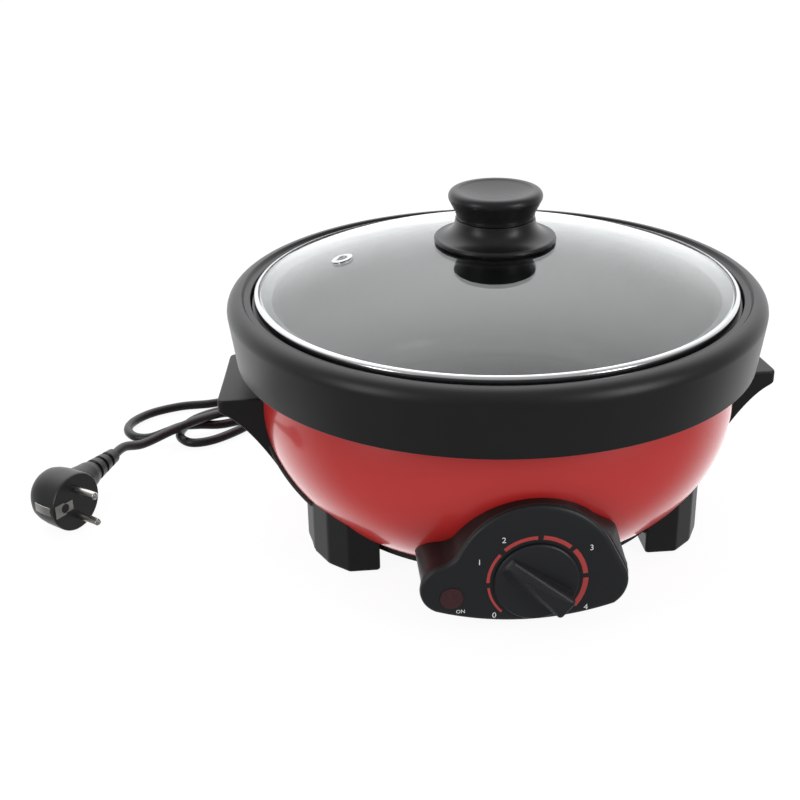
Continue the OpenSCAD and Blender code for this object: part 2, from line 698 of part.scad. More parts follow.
// Direction, in degrees, square to the line that touches both round ends on the right
panel_tan = atan2(panel_b[1] - panel_a[1], panel_b[0] - panel_a[0])
  + acos((panel_top_r - panel_right_r) / dist(panel_a, panel_b));
function bearing(p, q) = atan2(q[1] - p[1], q[0] - p[0]);
// Points along an arc, one for about every step degrees
function arc(c, r, from, to, step = 6) = let (n = ceil(abs(to - from) / step))
  [for (i = [0 : n]) c + r * [cos(from + (to - from) * i / n), sin(from + (to - from) * i / n)]];
// Outline of the panel in X and Z, drawn in by e all round: right end, round top,
// hollow shoulder, left end, and the long curve below
module panel_outline(e) {
  intersection() {
    polygon(concat(arc(panel_b, panel_right_r - e, -90, panel_tan),
      arc(panel_a, panel_top_r - e, panel_tan, bearing(panel_a, panel_f)),
      arc(panel_f, panel_flare_r + e, bearing(panel_f, panel_a), bearing(panel_f, panel_c)),
      arc(panel_c, panel_left_r - e, bearing(panel_c, panel_f), 270),
      [[panel_c[0], -5], [panel_b[0], -5]]));
    translate([0, panel_low_z + panel_sag_r]) circle(r = panel_sag_r - e);
  }
}
tongue_w = 44;
tongue_screw_x = tongue_w / 2 - 9;
tongue_screw_y = base_r - 9.5;
tongue_back_y = base_r - 17.5;
tongue_seat_z = base_z - 2;
housing_back = base_r - 21.5;
// The room inside the housing, and the tongue that it keeps under the base cover
module tongue_block() {
  translate([-tongue_w / 2, -face_back - 1, -1]) cube([tongue_w, face_back + 1 - tongue_back_y, base_z + 1]);
}
module control_housing() {
  color([0.1, 0.1, 0.1]) difference() {
    along_y(-housing_back, face_back - housing_back) panel_outline(0);
    difference() {
      along_y(-housing_back + 1, face_back - housing_back + 2) panel_outline(housing_wall);
      translate([0, 1, 0]) tongue_block();
    }
    bowl_cut();
    difference() {
      translate([0, 0, -2]) cylinder(r = base_r + shell_gap, h = bowl_clear + 2 + eps);
      tongue_block();
    }
    for (sx = [-1, 1]) translate([sx * tongue_screw_x, -tongue_screw_y, 0]) {
      cylinder(r = screw_head_r + 0.3, h = tongue_seat_z);
      cylinder(r = seat_hole_r, h = 30);
    }
  }
}
stat_screw_x = 12;
module control_fascia() {
  color([0.11, 0.11, 0.12]) difference() {
    union() {
      along_y(-face_back, face_t - face_edge) panel_outline(0);
      along_y(-face_back - face_t + face_edge, face_edge / 2) panel_outline(face_edge / 3);
      along_y(-face_back - face_t + face_edge / 2, face_edge / 2) panel_outline(face_edge);
    }
    translate([0, -panel_y - 1, dial_z]) rotate([-90, 0, 0]) cylinder(r = shaft_r + 1, h = face_t + 2);
    translate([-lens_x, -panel_y - 1, lens_z]) rotate([-90, 0, 0]) cylinder(r = lens_r, h = face_t + 2);
    for (sx = [-1, 1]) translate([sx * stat_screw_x, -panel_y - 1, dial_z]) rotate([-90, 0, 0]) {
      cylinder(r = 1.5 + screw_gap, h = face_t + 2);
      cylinder(r = 3, h = 1 + 1.6);
    }
  }
}
module panel_screws() {
  color([0.75, 0.75, 0.75]) for (sx = [-1, 1])
    translate([sx * stat_screw_x, -panel_y + 1.6, dial_z]) rotate([-90, 0, 0])
      screw_up(6.5, 1.5, 2.9, 1.5);
}
module indicator_lens() {
  color([0.29, 0.16, 0.18]) translate([-lens_x, 0, lens_z]) {
    translate([0, -panel_y - 0.8, 0]) rotate([-90, 0, 0]) cylinder(r = lens_r, h = face_t + 0.8);
    translate([0, -face_back, 0]) rotate([-90, 0, 0]) cylinder(r = lens_r + 1.2, h = 1.6);
    translate([0, -face_back + 1.6, 0]) rotate([-90, 0, 0]) difference() {
      cylinder(r = 4.4, h = 8);
      cylinder(r = neon_r, h = 9);
    }
  }
}
neon_r = 3;
module neon_lamp() {
  color([0.9, 0.5, 0.3]) translate([-lens_x, -face_back + 1.6, lens_z]) rotate([-90, 0, 0])
    cylinder(r = neon_r, h = 11);
}

// ---- dial and thermostat ----

dial_back = panel_y + dial_gap;
dial_front = dial_back + dial_t;
// Puts children at the dial's centre on the disc's back, Z out of the panel, Y at the pointer
module at_dial() {
  translate([0, -dial_back, dial_z]) rotate([90, 0, 0]) rotate([0, 0, dial_turn]) children();
}
module control_dial() {
  tip = dial_r - 1.5;
  tail = dial_r - 0.5;
  color([0.12, 0.12, 0.13]) at_dial() difference() {
    union() {
      cylinder(r = dial_r, h = dial_t - 1);
      translate([0, 0, dial_t - 1 - eps]) cylinder(r = dial_r - 0.8, h = 1 + eps);
      intersection() {
        cylinder(r = dial_r - 0.8, h = dial_t + grip_h);
        translate([0, 0, dial_t - 0.5]) linear_extrude(height = grip_h + 0.5)
          polygon([[-grip_tip_w / 2, tip - 2], [-grip_tip_w / 2 + 2, tip], [grip_tip_w / 2 - 2, tip],
            [grip_tip_w / 2, tip - 2], [grip_tail_w / 2, -tail], [-grip_tail_w / 2, -tail]]);
      }
    }
    translate([0, 0, -1]) cylinder(r = shaft_r, h = dial_t + 6);
  }
}
shaft_in = 10;
module thermostat_shaft() {
  color([0.75, 0.75, 0.75]) translate([0, -dial_back - dial_t - 5, dial_z]) rotate([-90, 0, 0])
    cylinder(r = shaft_r, h = dial_gap + dial_t + 5 + face_t + shaft_in);
}
module thermostat_body() {
  color([0.85, 0.82, 0.74]) difference() {
    translate([-stat_w / 2, -face_back, dial_z - stat_h / 2]) cube([stat_w, stat_d, stat_h]);
    translate([0, -face_back - 1, dial_z]) rotate([-90, 0, 0])
      cylinder(r = shaft_r + shaft_gap, h = 1 + shaft_in + 0.4);
    for (sx = [-1, 1]) translate([sx * stat_screw_x, -face_back - 1, dial_z]) rotate([-90, 0, 0])
      cylinder(r = 1.5, h = 6.5);
  }
}

// ---- heater ----

heat_open = 40;
heat_z = pan_low_z - heat_tube_r;
module heating_element() {
  color([0.45, 0.45, 0.46]) rotate([0, 0, 90 + heat_open / 2]) {
    rotate_extrude(angle = 360 - heat_open) translate([heat_r, heat_z]) circle(r = heat_tube_r);
    translate([heat_r, 1, heat_z]) rotate([90, 0, 0]) cylinder(r = heat_tube_r - 1, h = 14);
    rotate([0, 0, -heat_open]) translate([heat_r, -1, heat_z]) rotate([-90, 0, 0])
      cylinder(r = heat_tube_r - 1, h = 14);
  }
}
module element_clamps() {
  reach = heat_tube_r + 8;
  color([0.7, 0.7, 0.7]) for (a = [-30, 90 + 180, 210]) rotate([0, 0, a]) difference() {
    translate([heat_r - reach, -clamp_w / 2, pan_low_z - 2 * heat_tube_r - 2])
      cube([2 * reach, clamp_w, 2 * heat_tube_r + 2]);
    rotate([0, 0, -20]) rotate_extrude(angle = 40) union() {
      translate([heat_r, heat_z]) circle(r = heat_tube_r);
      translate([heat_r - heat_tube_r, heat_z]) square([2 * heat_tube_r, heat_tube_r + 1]);
    }
  }
}
module thermostat_sensor() {
  color([0.7, 0.7, 0.7]) translate([0, 0, pan_low_z - sensor_h]) {
    cylinder(r = sensor_r, h = sensor_h);
    cylinder(r = sensor_r + 3, h = 1.5);
  }
}
module thermal_fuse() {
  color([0.8, 0.8, 0.82]) translate([30, -fuse_l / 2, pan_low_z - fuse_r]) rotate([-90, 0, 0])
    cylinder(r = fuse_r, h = fuse_l);
}
module terminal_block() {
  color([0.9, 0.9, 0.86]) difference() {
    translate([-74, 48, bowl_clear + bowl_wall]) cube([30, 16, 13]);
    for (i = [0 : 2]) translate([-69 + i * 10, 47, bowl_clear + bowl_wall + 7]) rotate([-90, 0, 0])
      cylinder(r = 2, h = 18);
  }
}

// ---- mains lead ----

gland_lean = asin((bowl_wide_z - gland_z) / bowl_bulge_r);
gland_flange_t = 3;
gland_hole_r = 6;
gland_reach = gland_flange_t + gland_tail_l;
// Puts children on the bowl's surface at the gland, Z square to it and outward
module at_gland() {
  rotate([0, 0, gland_az]) translate([bowl_at(gland_z), 0, gland_z]) rotate([0, 90 + gland_lean, 0])
    children();
}
module strain_relief() {
  color([0.08, 0.08, 0.08]) difference() {
    at_gland() rotate_extrude() union() {
      translate([0, -4]) square([gland_hole_r - 0.1, 4 + gland_flange_t]);
      square([8.5, gland_flange_t]);
      translate([0, gland_flange_t]) polygon([[0, 0], [6, 0], [cord_d / 2 + 1.2, gland_tail_l], [0, gland_tail_l]]);
    }
    at_gland() for (i = [0 : 3]) translate([0, 0, gland_flange_t + 4 + i * 4.2]) difference() {
      cylinder(r = 9, h = 1.2);
      translate([0, 0, -1]) cylinder(r = cord_d / 2 + 0.6, h = 4);
    }
  }
}

// Plug: local +X is the way its pins point and +Y is roughly the way the lead leaves
plug_at = [-272, -10, plug_r];
plug_turn = -39;
neck_turn = 11.3;
neck_from = 15;
neck_l = 34;
relief_l = 27.7;
module at_plug() { translate(plug_at) rotate([0, 0, plug_turn]) children(); }
module at_neck() {
  at_plug() translate([-neck_from, 0, 0]) rotate([0, 0, 90 + neck_turn]) rotate([0, 90, 0]) children();
}
neck_dir = [cos(plug_turn + 90 + neck_turn), sin(plug_turn + 90 + neck_turn), 0];
neck_root = plug_at - neck_from * [cos(plug_turn), sin(plug_turn), 0];
module plug_body() {
  color([0.09, 0.09, 0.1]) difference() {
    union() {
      at_plug() rotate([0, -90, 0]) cylinder(r = plug_r, h = plug_d);
      at_plug() translate([-plug_d, 0, 0]) rotate([0, -90, 0]) cylinder(r1 = plug_r, r2 = plug_r - 5, h = 8);
      at_neck() cylinder(r1 = 12.5, r2 = 8.5, h = neck_l);
      at_neck() translate([0, 0, neck_l]) cylinder(r1 = 7.6, r2 = cord_d / 2 + 1.6, h = relief_l);
    }
    at_neck() for (i = [0 : 3]) translate([0, 0, neck_l + 3 + i * 6]) difference() {
      cylinder(r = 9, h = 2);
      translate([0, 0, -1]) cylinder(r = cord_d / 2 + 1, h = 4);
    }
    // side notches for the earth clips, and the earth socket
    at_plug() for (s = [-1, 1]) translate([-plug_d + 1, s * plug_r - 2.5, -3.2]) cube([plug_d, 5, 6.4]);
    at_plug() translate([1, -earth_y, 0]) rotate([0, -90, 0]) cylinder(r = earth_r + 0.9, h = 17);
    at_plug() for (s = [-1, 1]) translate([1, 0, s * pin_gap / 2]) rotate([0, -90, 0])
      cylinder(r = pin_d / 2, h = 11);
  }
}
module plug_pins() {
  color([0.8, 0.8, 0.8]) at_plug() for (s = [-1, 1]) translate([-10, 0, s * pin_gap / 2])
    rotate([0, 90, 0]) {
      cylinder(r = pin_d / 2, h = 10 + pin_l - 1);
      translate([0, 0, 10 + pin_l - 1]) cylinder(r1 = pin_d / 2, r2 = pin_d / 2 - 0.9, h = 1);
    }
}
earth_y = 10;
earth_r = 2.4;
module plug_earth_contacts() {
  color([0.85, 0.82, 0.7]) at_plug() {
    for (s = [-1, 1]) translate([-plug_d + 2, s * (plug_r - 1.7) - 0.8, -3]) cube([plug_d - 2, 1.6, 6]);
    translate([0, -earth_y, 0]) rotate([0, -90, 0]) difference() {
      cylinder(r = earth_r + 0.9, h = 15);
      translate([0, 0, -1]) cylinder(r = earth_r, h = 15);
    }
  }
}

// The lead's route: out of the gland, one loop and back behind the pot, a wider
// loop and back again, then over both to the plug
cord_on = 3.4;
cord_start = [(bowl_at(gland_z) + gland_reach * cos(gland_lean)) * cos(gland_az),
  (bowl_at(gland_z) + gland_reach * cos(gland_lean)) * sin(gland_az),
  gland_z - gland_reach * sin(gland_lean)];
cord_end = neck_root + (neck_l + relief_l) * neck_dir;
cord_route = [[-118, 131, 34], [-132, 138, 22], [-147, 136, 11], [-161, 125, 5], [-176, 112, 3.4],
  [-192, 101, 3.4], [-206, 100, 3.4], [-214, 112, 3.4], [-211, 128, 3.4], [-203, 141, 3.4],
  [-188, 151, 3.4], [-170, 156, 3.4], [-150, 159, 3.4], [-130, 166, 3.4], [-115, 180, 3.4],
  [-112, 198, 3.4], [-122, 214, 3.4], [-140, 221, 3.4], [-157, 214, 3.4], [-165, 199, 3.4],
  [-169, 184, 3.4], [-178, 172, 3.4], [-194, 166, 3.4], [-216, 164, 3.4], [-237, 155, 3.4],
  [-250, 141, 3.4], [-253, 127, 3.4], [-247, 115, 3.4], [-236, 110, 4.5], [-223, 110, 8.5],
  [-212, 114, 10.4], [-200, 121, 7.5], [-184, 128, 3.4], [-162, 136, 3.4], [-142, 141, 3.4],
  [-120, 143, 3.4], [-98, 144, 3.4], [-74, 148, 3.4], [-54, 160, 3.4], [-46, 180, 3.4],
  [-53, 201, 3.4], [-72, 212, 3.4], [-91, 204, 3.4], [-99, 186, 3.4], [-107, 167, 3.4],
  [-125, 156, 3.4], [-148, 150, 3.4], [-170, 142, 5.5], [-184, 133, 10.2], [-201, 115, 14],
  [-218, 99, 14.5], [-237, 80, 14.5]];
cord_points = concat([cord_start], cord_route, [cord_end + 14 * neck_dir], [cord_end]);
cord_sides = 8;
// Direction of the route at a point
function way(p, i) = let (n = len(p) - 1, d = i == 0 ? -1 * cross_axis() : i == n ? -1 * neck_dir
  : p[i + 1] - p[i - 1]) d / norm(d);
function cross_axis() = -1 * [cos(gland_lean) * cos(gland_az), cos(gland_lean) * sin(gland_az),
  -sin(gland_lean)];
// One ring of the tube, square to the route
function ring_at(c, t, r) = let (a = cross(t, [0, 0, 1]), s = a / norm(a), u = cross(s, t))
  [for (k = [0 : cord_sides - 1]) c + r * (cos((k + 0.5) * 360 / cord_sides) * s
    + sin((k + 0.5) * 360 / cord_sides) * u)];
module mains_cord() {
  n = len(cord_points);
  pts = [for (i = [0 : n - 1]) each ring_at(cord_points[i], way(cord_points, i), cord_d / 2)];
  faces = concat([[for (k = [0 : cord_sides - 1]) k]],
    [for (i = [0 : n - 2]) for (k = [0 : cord_sides - 1]) let (j = (k + 1) % cord_sides)
      [i * cord_sides + k, (i + 1) * cord_sides + k, (i + 1) * cord_sides + j, i * cord_sides + j]],
    [[for (k = [cord_sides - 1 : -1 : 0]) (n - 1) * cord_sides + k]]);
  color([0.09, 0.09, 0.09]) polyhedron(points = pts, faces = faces, convexity = 10);
}

outer_bowl();
rim_ring();
cooking_pan();
lid_glass();
lid_rim_band();
vent_eyelet();
knob_cap();
knob_skirt();
knob_washer();
knob_screw();
base_cover();
base_screws();
foot_front_left();
foot_front_right();
foot_rear_left();
foot_rear_right();
foot_pads();
foot_screws();
handle_left();
handle_right();
handle_screws();
control_housing();
control_fascia();
panel_screws();
indicator_lens();
neon_lamp();
control_dial();
thermostat_shaft();
thermostat_body();
heating_element();
element_clamps();
thermostat_sensor();
thermal_fuse();
terminal_block();
strain_relief();
mains_cord();
plug_body();
plug_pins();
plug_earth_contacts();
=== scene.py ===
import math

import bmesh
import bpy
import numpy as np
from mathutils import Matrix, Vector


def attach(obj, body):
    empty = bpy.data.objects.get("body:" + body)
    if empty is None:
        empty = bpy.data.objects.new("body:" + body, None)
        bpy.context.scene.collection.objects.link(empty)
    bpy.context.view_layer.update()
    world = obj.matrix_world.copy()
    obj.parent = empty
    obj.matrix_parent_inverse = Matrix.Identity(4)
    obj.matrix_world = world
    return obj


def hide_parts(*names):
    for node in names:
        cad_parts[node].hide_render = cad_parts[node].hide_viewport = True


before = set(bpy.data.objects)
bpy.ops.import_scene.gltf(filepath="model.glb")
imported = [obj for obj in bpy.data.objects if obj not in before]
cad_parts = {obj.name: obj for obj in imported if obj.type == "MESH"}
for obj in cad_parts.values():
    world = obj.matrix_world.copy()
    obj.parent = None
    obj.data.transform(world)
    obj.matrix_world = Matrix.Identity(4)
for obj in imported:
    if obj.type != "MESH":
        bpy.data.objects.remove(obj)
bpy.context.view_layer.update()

# ---------------------------------------------------------------- camera, light and floor
# A studio shot on a lit white table, with two tall side boxes whose reflections
# stand on the bowl. The studio is set out in metres, the pieces in millimetres.

MM = 0.001


def linear(code):
    """An sRGB hex colour as linear red, green, blue and alpha."""
    s = np.array([int(code[i:i + 2], 16) for i in (1, 3, 5)]) / 255
    return (*np.where(s <= 0.04045, s / 12.92, ((s + 0.055) / 1.055) ** 2.4), 1.0)


def node(tree, kind, settings=None, **feeds):
    """One shader node with its settings. A feed is a value or another node's output, named by its socket,
    or i0, i1 by its place."""
    made = tree.nodes.new(kind)
    for name, value in (settings or {}).items():
        setattr(made, name, value)
    for name, value in feeds.items():
        socket = made.inputs[int(name[1:])] if name[1:].isdigit() else made.inputs[name.replace("_", " ")]
        if isinstance(value, bpy.types.NodeSocket):
            tree.links.new(value, socket)
        else:
            socket.default_value = value
    return made


def fresh_material(name):
    """An empty node material, its tree, and the object-space coordinates in millimetres."""
    made = bpy.data.materials.new(name)
    made.use_nodes = True
    tree = made.node_tree
    tree.nodes.clear()
    place = node(tree, "ShaderNodeTexCoord").outputs["Object"]
    in_mm = node(tree, "ShaderNodeMapping", Vector=place, Scale=(1000, 1000, 1000)).outputs["Vector"]
    return made, tree, in_mm


def close_material(tree, shader):
    """Joins the finished shader to the material's output."""
    node(tree, "ShaderNodeOutputMaterial", Surface=shader.outputs[0])


def placed(name, data):
    """A new object in the scene."""
    made = bpy.data.objects.new(name, data)
    bpy.context.scene.collection.objects.link(made)
    return made


# The camera stands a little left of the front, 0.84 m from the knob, and looks
# down at 24.7 degrees through a lens of about 61 mm.
eye = Vector((-0.1262, -0.7967, 0.4425))
turn, dip, roll = math.radians(4.69), math.radians(24.72), math.radians(-1.18)
ahead = Vector((math.sin(turn) * math.cos(dip), math.cos(turn) * math.cos(dip), -math.sin(dip)))
right = ahead.cross(Vector((0, 0, 1))).normalized()
up = right.cross(ahead)
right, up = (math.cos(roll) * right + math.sin(roll) * up, math.cos(roll) * up - math.sin(roll) * right)
lens = bpy.data.cameras.new("table_camera")
lens.sensor_width, lens.lens, lens.clip_start, lens.clip_end = 36, 61.335, 0.02, 20
camera = placed("table_camera", lens)
camera.matrix_world = Matrix((
    (right.x, up.x, -ahead.x, eye.x),
    (right.y, up.y, -ahead.y, eye.y),
    (right.z, up.z, -ahead.z, eye.z),
    (0, 0, 0, 1)))
bpy.context.scene.camera = camera
bpy.context.scene.view_settings.view_transform = "Standard"

# The room: dark behind the camera, grey at the sides, and a bright wall behind
# the pot that the glass and the tops mirror, brighter still towards the ceiling.
sky = bpy.data.worlds.new("studio_room")
sky.use_nodes = True
tree = sky.node_tree
way = node(tree, "ShaderNodeSeparateXYZ", Vector=node(tree, "ShaderNodeTexCoord").outputs["Generated"])
eased = {"interpolation_type": "SMOOTHSTEP"}
wall = node(tree, "ShaderNodeMapRange", eased, Value=way.outputs["Y"], i1=-0.05, i2=0.85, i3=0.24, i4=1.5).outputs[0]
ceiling = node(tree, "ShaderNodeMapRange", eased, Value=way.outputs["Z"], i1=0.35, i2=0.95, i3=1.0, i4=2.2).outputs[0]
room = node(tree, "ShaderNodeMath", {"operation": "MULTIPLY"}, i0=wall, i1=ceiling).outputs[0]
tree.nodes["Background"].inputs["Color"].default_value = linear("#FDFEFF")
tree.links.new(room, tree.nodes["Background"].inputs["Strength"])
bpy.context.scene.world = sky


def soft_box(name, at, towards, wide, high, power):
    """A rectangular area light that faces a point."""
    data = bpy.data.lights.new(name, "AREA")
    data.shape, data.size, data.size_y, data.energy = "RECTANGLE", wide, high, power
    lamp = placed(name, data)
    lamp.location = at
    lamp.rotation_euler = (Vector(towards) - Vector(at)).to_track_quat("-Z", "Y").to_euler()


POT_MIDDLE = (0, 0, 0.1)
soft_box("left_box", (-1.25, -0.75, 0.55), POT_MIDDLE, 0.22, 0.9, 5)
soft_box("right_box", (1.05, -1.05, 0.6), POT_MIDDLE, 0.3, 0.9, 7.5)

# The table: white acrylic lit from below, so that it washes out to plain white
TABLE_HALF, TABLE_Z = 6.0, -0.0002
table_corners = [(x * TABLE_HALF, y * TABLE_HALF, TABLE_Z) for x, y in ((-1, -1), (1, -1), (1, 1), (-1, 1))]
floor_mesh = bpy.data.meshes.new("table_top")
floor_mesh.from_pydata(table_corners, [], [(0, 1, 2, 3)])
floor = placed("table_top", floor_mesh)
floor.visible_glossy = False
white, tree, spot = fresh_material("white_light_table")
grain = node(tree, "ShaderNodeTexNoise", Vector=spot, Scale=0.02, Detail=3.0).outputs["Fac"]
paper = node(tree, "ShaderNodeMix", {"data_type": "RGBA"}, Factor=grain, i6=linear("#60605F"), i7=linear("#626262"))
close_material(tree, node(
    tree, "ShaderNodeBsdfPrincipled", Base_Color=paper.outputs[2], Roughness=1.0, Specular_IOR_Level=0.0,
    Emission_Color=linear("#FFFFFF"), Emission_Strength=0.93))
floor_mesh.materials.append(white)

# ---------------------------------------------------------------- mains lead
# A round two-core-and-earth lead in black PVC, 6.5 mm thick and 1.04 m long. It
# leaves the bowl low at the rear left through a moulded gland, makes two loose
# loops behind the left handle and comes round over them to its plug.

# The bowl's side is a circle of BULGE_R about the height WIDE_Z, turned round the
# pot's axis. It stands here because the lead starts on it.
BOWL_R, BULGE_R, WIDE_Z, FLAT_Z, LIP_Z = 150.8, 86.0, 86.0, 16.0, 126.0
BOWL_CX = BOWL_R - BULGE_R
FULL_TURN = 2 * math.pi


def bowl_at(z, off=0.0):
    """Radius of the bowl's side at a height, with its bulge grown by off: the distance of the bulge's centre
    from the axis plus the root of the bulge's radius squared less the height above the centre squared."""
    return BOWL_CX + np.sqrt(np.maximum((BULGE_R + off) ** 2 - (np.asarray(z, float) - WIDE_Z) ** 2, 0))


def unit(v):
    """Each row at length one."""
    return v / np.linalg.norm(v, axis=-1, keepdims=True)


def level_way(angle):
    """A level direction, by its angle from +X towards +Y."""
    return np.array([math.cos(angle), math.sin(angle), 0])


def aim(direction, beside=(0, 0, 1)):
    """Three unit rows: across, up and along, for a part that is made along +Z and set in that direction."""
    along = unit(direction)
    across = unit(np.cross(beside, along))
    return np.array([across, np.cross(along, across), along])


def put(points, at, rows):
    """Turns points made about the origin and moves them to a place."""
    return np.asarray(points) @ rows + np.asarray(at, float)


def object_of(name, mesh, body, slot, material, *stands_for, crisp=35):
    """A finished object: rounded shading with edges crisp past an angle, its body and its material. The slot argument
    is not used.
    """
    mesh.materials.clear()
    mesh.materials.append(material)
    mesh.polygons.foreach_set("use_smooth", np.ones(len(mesh.polygons), bool))
    mesh.set_sharp_from_angle(angle=math.radians(crisp))
    made = placed(name, mesh)
    even = made.modifiers.new("even_shading", "WEIGHTED_NORMAL")
    even.keep_sharp, even.weight = True, 50
    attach(made, body)
    if stands_for:
        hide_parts(*stands_for)
    return made


# How a grid's rows and its columns join, and whether its two ends get a face: a ring's grid is joined both ways, a
# bar's round only, with flat ends, and a rounded part's round only, its ends drawn in to a point.
LATHE, BAR, ROUNDED = (True, True, False), (True, False, True), (True, False, False)


def skin(grids):
    """A mesh in metres from grids of points in millimetres, its doubles merged and its faces turned outwards.
    Each grid is its points and how it joins."""
    shape, faces, base = [], [], 0
    for points, round_u, round_v, capped in grids:
        g = np.asarray(points, float)
        nu, nv = g.shape[:2]
        k = np.arange(nu * nv).reshape(nu, nv) + base
        a, b = np.meshgrid(np.arange(nu if round_u else nu - 1), np.arange(nv if round_v else nv - 1), indexing="ij")
        a2, b2 = (a + 1) % nu, (b + 1) % nv
        faces += np.stack([k[a, b], k[a2, b], k[a2, b2], k[a, b2]], -1).reshape(-1, 4).tolist()
        if capped:
            faces += [k[::-1, 0].tolist(), k[:, -1].tolist()]
        shape.append(g.reshape(-1, 3))
        base += nu * nv
    mesh = bpy.data.meshes.new("piece")
    mesh.from_pydata((np.concatenate(shape) * MM).tolist(), [], faces)
    work = bmesh.new()
    work.from_mesh(mesh)
    bmesh.ops.remove_doubles(work, verts=work.verts, dist=2e-6)
    bmesh.ops.dissolve_degenerate(work, edges=work.edges, dist=1e-6)
    bmesh.ops.recalc_face_normals(work, faces=work.faces)
    work.to_mesh(mesh)
    work.free()
    return mesh


def soften(corners, steps):
    """Rounds a closed outline's corners. Rows are x, y, radius: each corner becomes an arc that touches both of
    its sides, its centre on their bisector at the radius over the sine of half the corner's angle."""
    c = np.asarray(corners, float)
    p, r = c[:, :2], c[:, 2:3]
    back, on = unit(np.roll(p, 1, 0) - p), unit(np.roll(p, -1, 0) - p)
    half = 0.5 * np.arccos(np.clip((back * on).sum(1, keepdims=True), -0.999999, 0.999999))
    centre = p + unit(back + on) * r / np.sin(half)
    first, last = p + back * r / np.tan(half) - centre, p + on * r / np.tan(half) - centre
    sweep, t = (math.pi - 2 * half)[:, None], np.linspace(0, 1, steps + 1)[None, :, None]
    bend = (np.sin((1 - t) * sweep) * first[:, None] + np.sin(t * sweep) * last[:, None]) / np.sin(sweep)
    return (centre[:, None] + bend).reshape(-1, 2)


def turned(outline, count):
    """Points of a part made on a lathe: a closed outline of radius and height, carried round +Z in count steps."""
    o, a = np.asarray(outline, float), np.linspace(0, FULL_TURN, count, endpoint=False)[:, None]
    return np.stack([o[:, 0] * np.cos(a), o[:, 0] * np.sin(a), o[:, 1] + 0 * a], -1)


def rope(points, radius, sides):
    """Points of a round bar along a level line, its rings square to the line: middle plus radius times the cosine
    of the angle to the side plus its sine upwards. The radius may differ from ring to ring."""
    p = np.asarray(points, float)
    way = unit(np.gradient(p, axis=0))
    side = unit(np.cross(way, (0, 0, 1)))
    rise = np.cross(side, way)
    a = np.linspace(0, FULL_TURN, sides, endpoint=False)[:, None, None]
    r = np.broadcast_to(np.asarray(radius, float), (len(p),))[None, :, None]
    return p[None] + r * (np.cos(a) * side[None] + np.sin(a) * rise[None])


# Soft PVC: black, a dull gloss, and a faint drawn grain of about 1 mm from the die
pvc, tree, spot = fresh_material("soft_black_pvc")
drawn = node(tree, "ShaderNodeTexNoise", Vector=spot, Scale=0.9, Detail=4.0, Roughness=0.6).outputs["Fac"]
shade = node(tree, "ShaderNodeMix", {"data_type": "RGBA"}, Factor=drawn, i6=linear("#0B0B0C"), i7=linear("#161618"))
dull = node(tree, "ShaderNodeMapRange", Value=drawn, i3=0.34, i4=0.5).outputs[0]
dent = node(tree, "ShaderNodeBump", Height=drawn, Strength=0.25, Distance=0.0002).outputs[0]
close_material(tree, node(
    tree, "ShaderNodeBsdfPrincipled", Base_Color=shade.outputs[2], Roughness=dull, Normal=dent, IOR=1.53))

CORD_D, GLAND_AZ, GLAND_Z, GLAND_REACH = 6.5, 132.0, 50.0, 25.0
up_row = np.array([0, 0, 1.0])
lean = math.asin((WIDE_Z - GLAND_Z) / BULGE_R)
gland_out = level_way(math.radians(GLAND_AZ))
gland_way = math.cos(lean) * gland_out - math.sin(lean) * up_row
gland_at = bowl_at(GLAND_Z) * gland_out + GLAND_Z * up_row
cord_start = gland_at + GLAND_REACH * gland_way

PLUG_AT, PLUG_TURN, NECK_TURN = np.array([-272.0, -10.0, 19.5]), math.radians(-39), math.radians(62.3)
NECK_BACK, GRIP_L, GUARD_L = 15.0, 34.0, 27.7
pins_way, neck_way = level_way(PLUG_TURN), level_way(NECK_TURN)
neck_root = PLUG_AT - NECK_BACK * pins_way
cord_end = neck_root + (GRIP_L + GUARD_L) * neck_way

# The lead's middle, point by point from the gland to the plug. It lies on the
# table at LIE, and rises only where it crosses itself and up to the plug.
LIE = 3.55
route = np.array([
    [-118, 131, 34], [-132, 138, 22], [-147, 136, 11], [-161, 125, 5], [-176, 112, LIE], [-192, 101, LIE],
    [-206, 100, LIE], [-214, 112, LIE], [-211, 128, LIE], [-203, 141, LIE], [-188, 151, LIE], [-170, 156, LIE],
    [-150, 159, LIE], [-130, 166, LIE], [-115, 180, LIE], [-112, 198, LIE], [-122, 214, LIE], [-140, 220.7, LIE],
    [-157, 214, LIE], [-165, 199, LIE], [-169, 184, LIE], [-178, 172, LIE], [-194, 166, LIE], [-216, 164, LIE],
    [-237, 155, LIE], [-250, 141, LIE], [-253, 127, LIE], [-247, 115, LIE], [-236, 110, 4.5], [-223, 110, 8.5],
    [-212, 114, 10.4], [-200, 121, 7.5], [-184, 128, LIE], [-162, 136, LIE], [-142, 141, LIE], [-120, 143, LIE],
    [-98, 144, LIE], [-74, 148, LIE], [-54, 160, LIE], [-46, 180, LIE], [-53, 201, LIE], [-72, 212, LIE],
    [-91, 204, LIE], [-99, 186, LIE], [-107, 167, LIE], [-125, 156, LIE], [-148, 150, LIE], [-170, 142, 5.5],
    [-184, 133, 10.2], [-201, 115, 14], [-218, 99, 14.5], [-237, 80, 14.5]])
lead = np.vstack([cord_start, route, cord_end + 14 * neck_way, cord_end])


def smooth_line(points):
    """A curve through points whose handles lie a third of the way along the chord of the two neighbours."""
    p = np.asarray(points, float) * MM
    slope = np.gradient(p, axis=0)
    data = bpy.data.curves.new("line", "CURVE")
    data.dimensions, data.resolution_u = "3D", 8
    spline = data.splines.new("BEZIER")
    spline.bezier_points.add(len(p) - 1)
    spline.bezier_points.foreach_set("co", p.ravel())
    spline.bezier_points.foreach_set("handle_left", (p - slope / 3).ravel())
    spline.bezier_points.foreach_set("handle_right", (p + slope / 3).ravel())
    return data


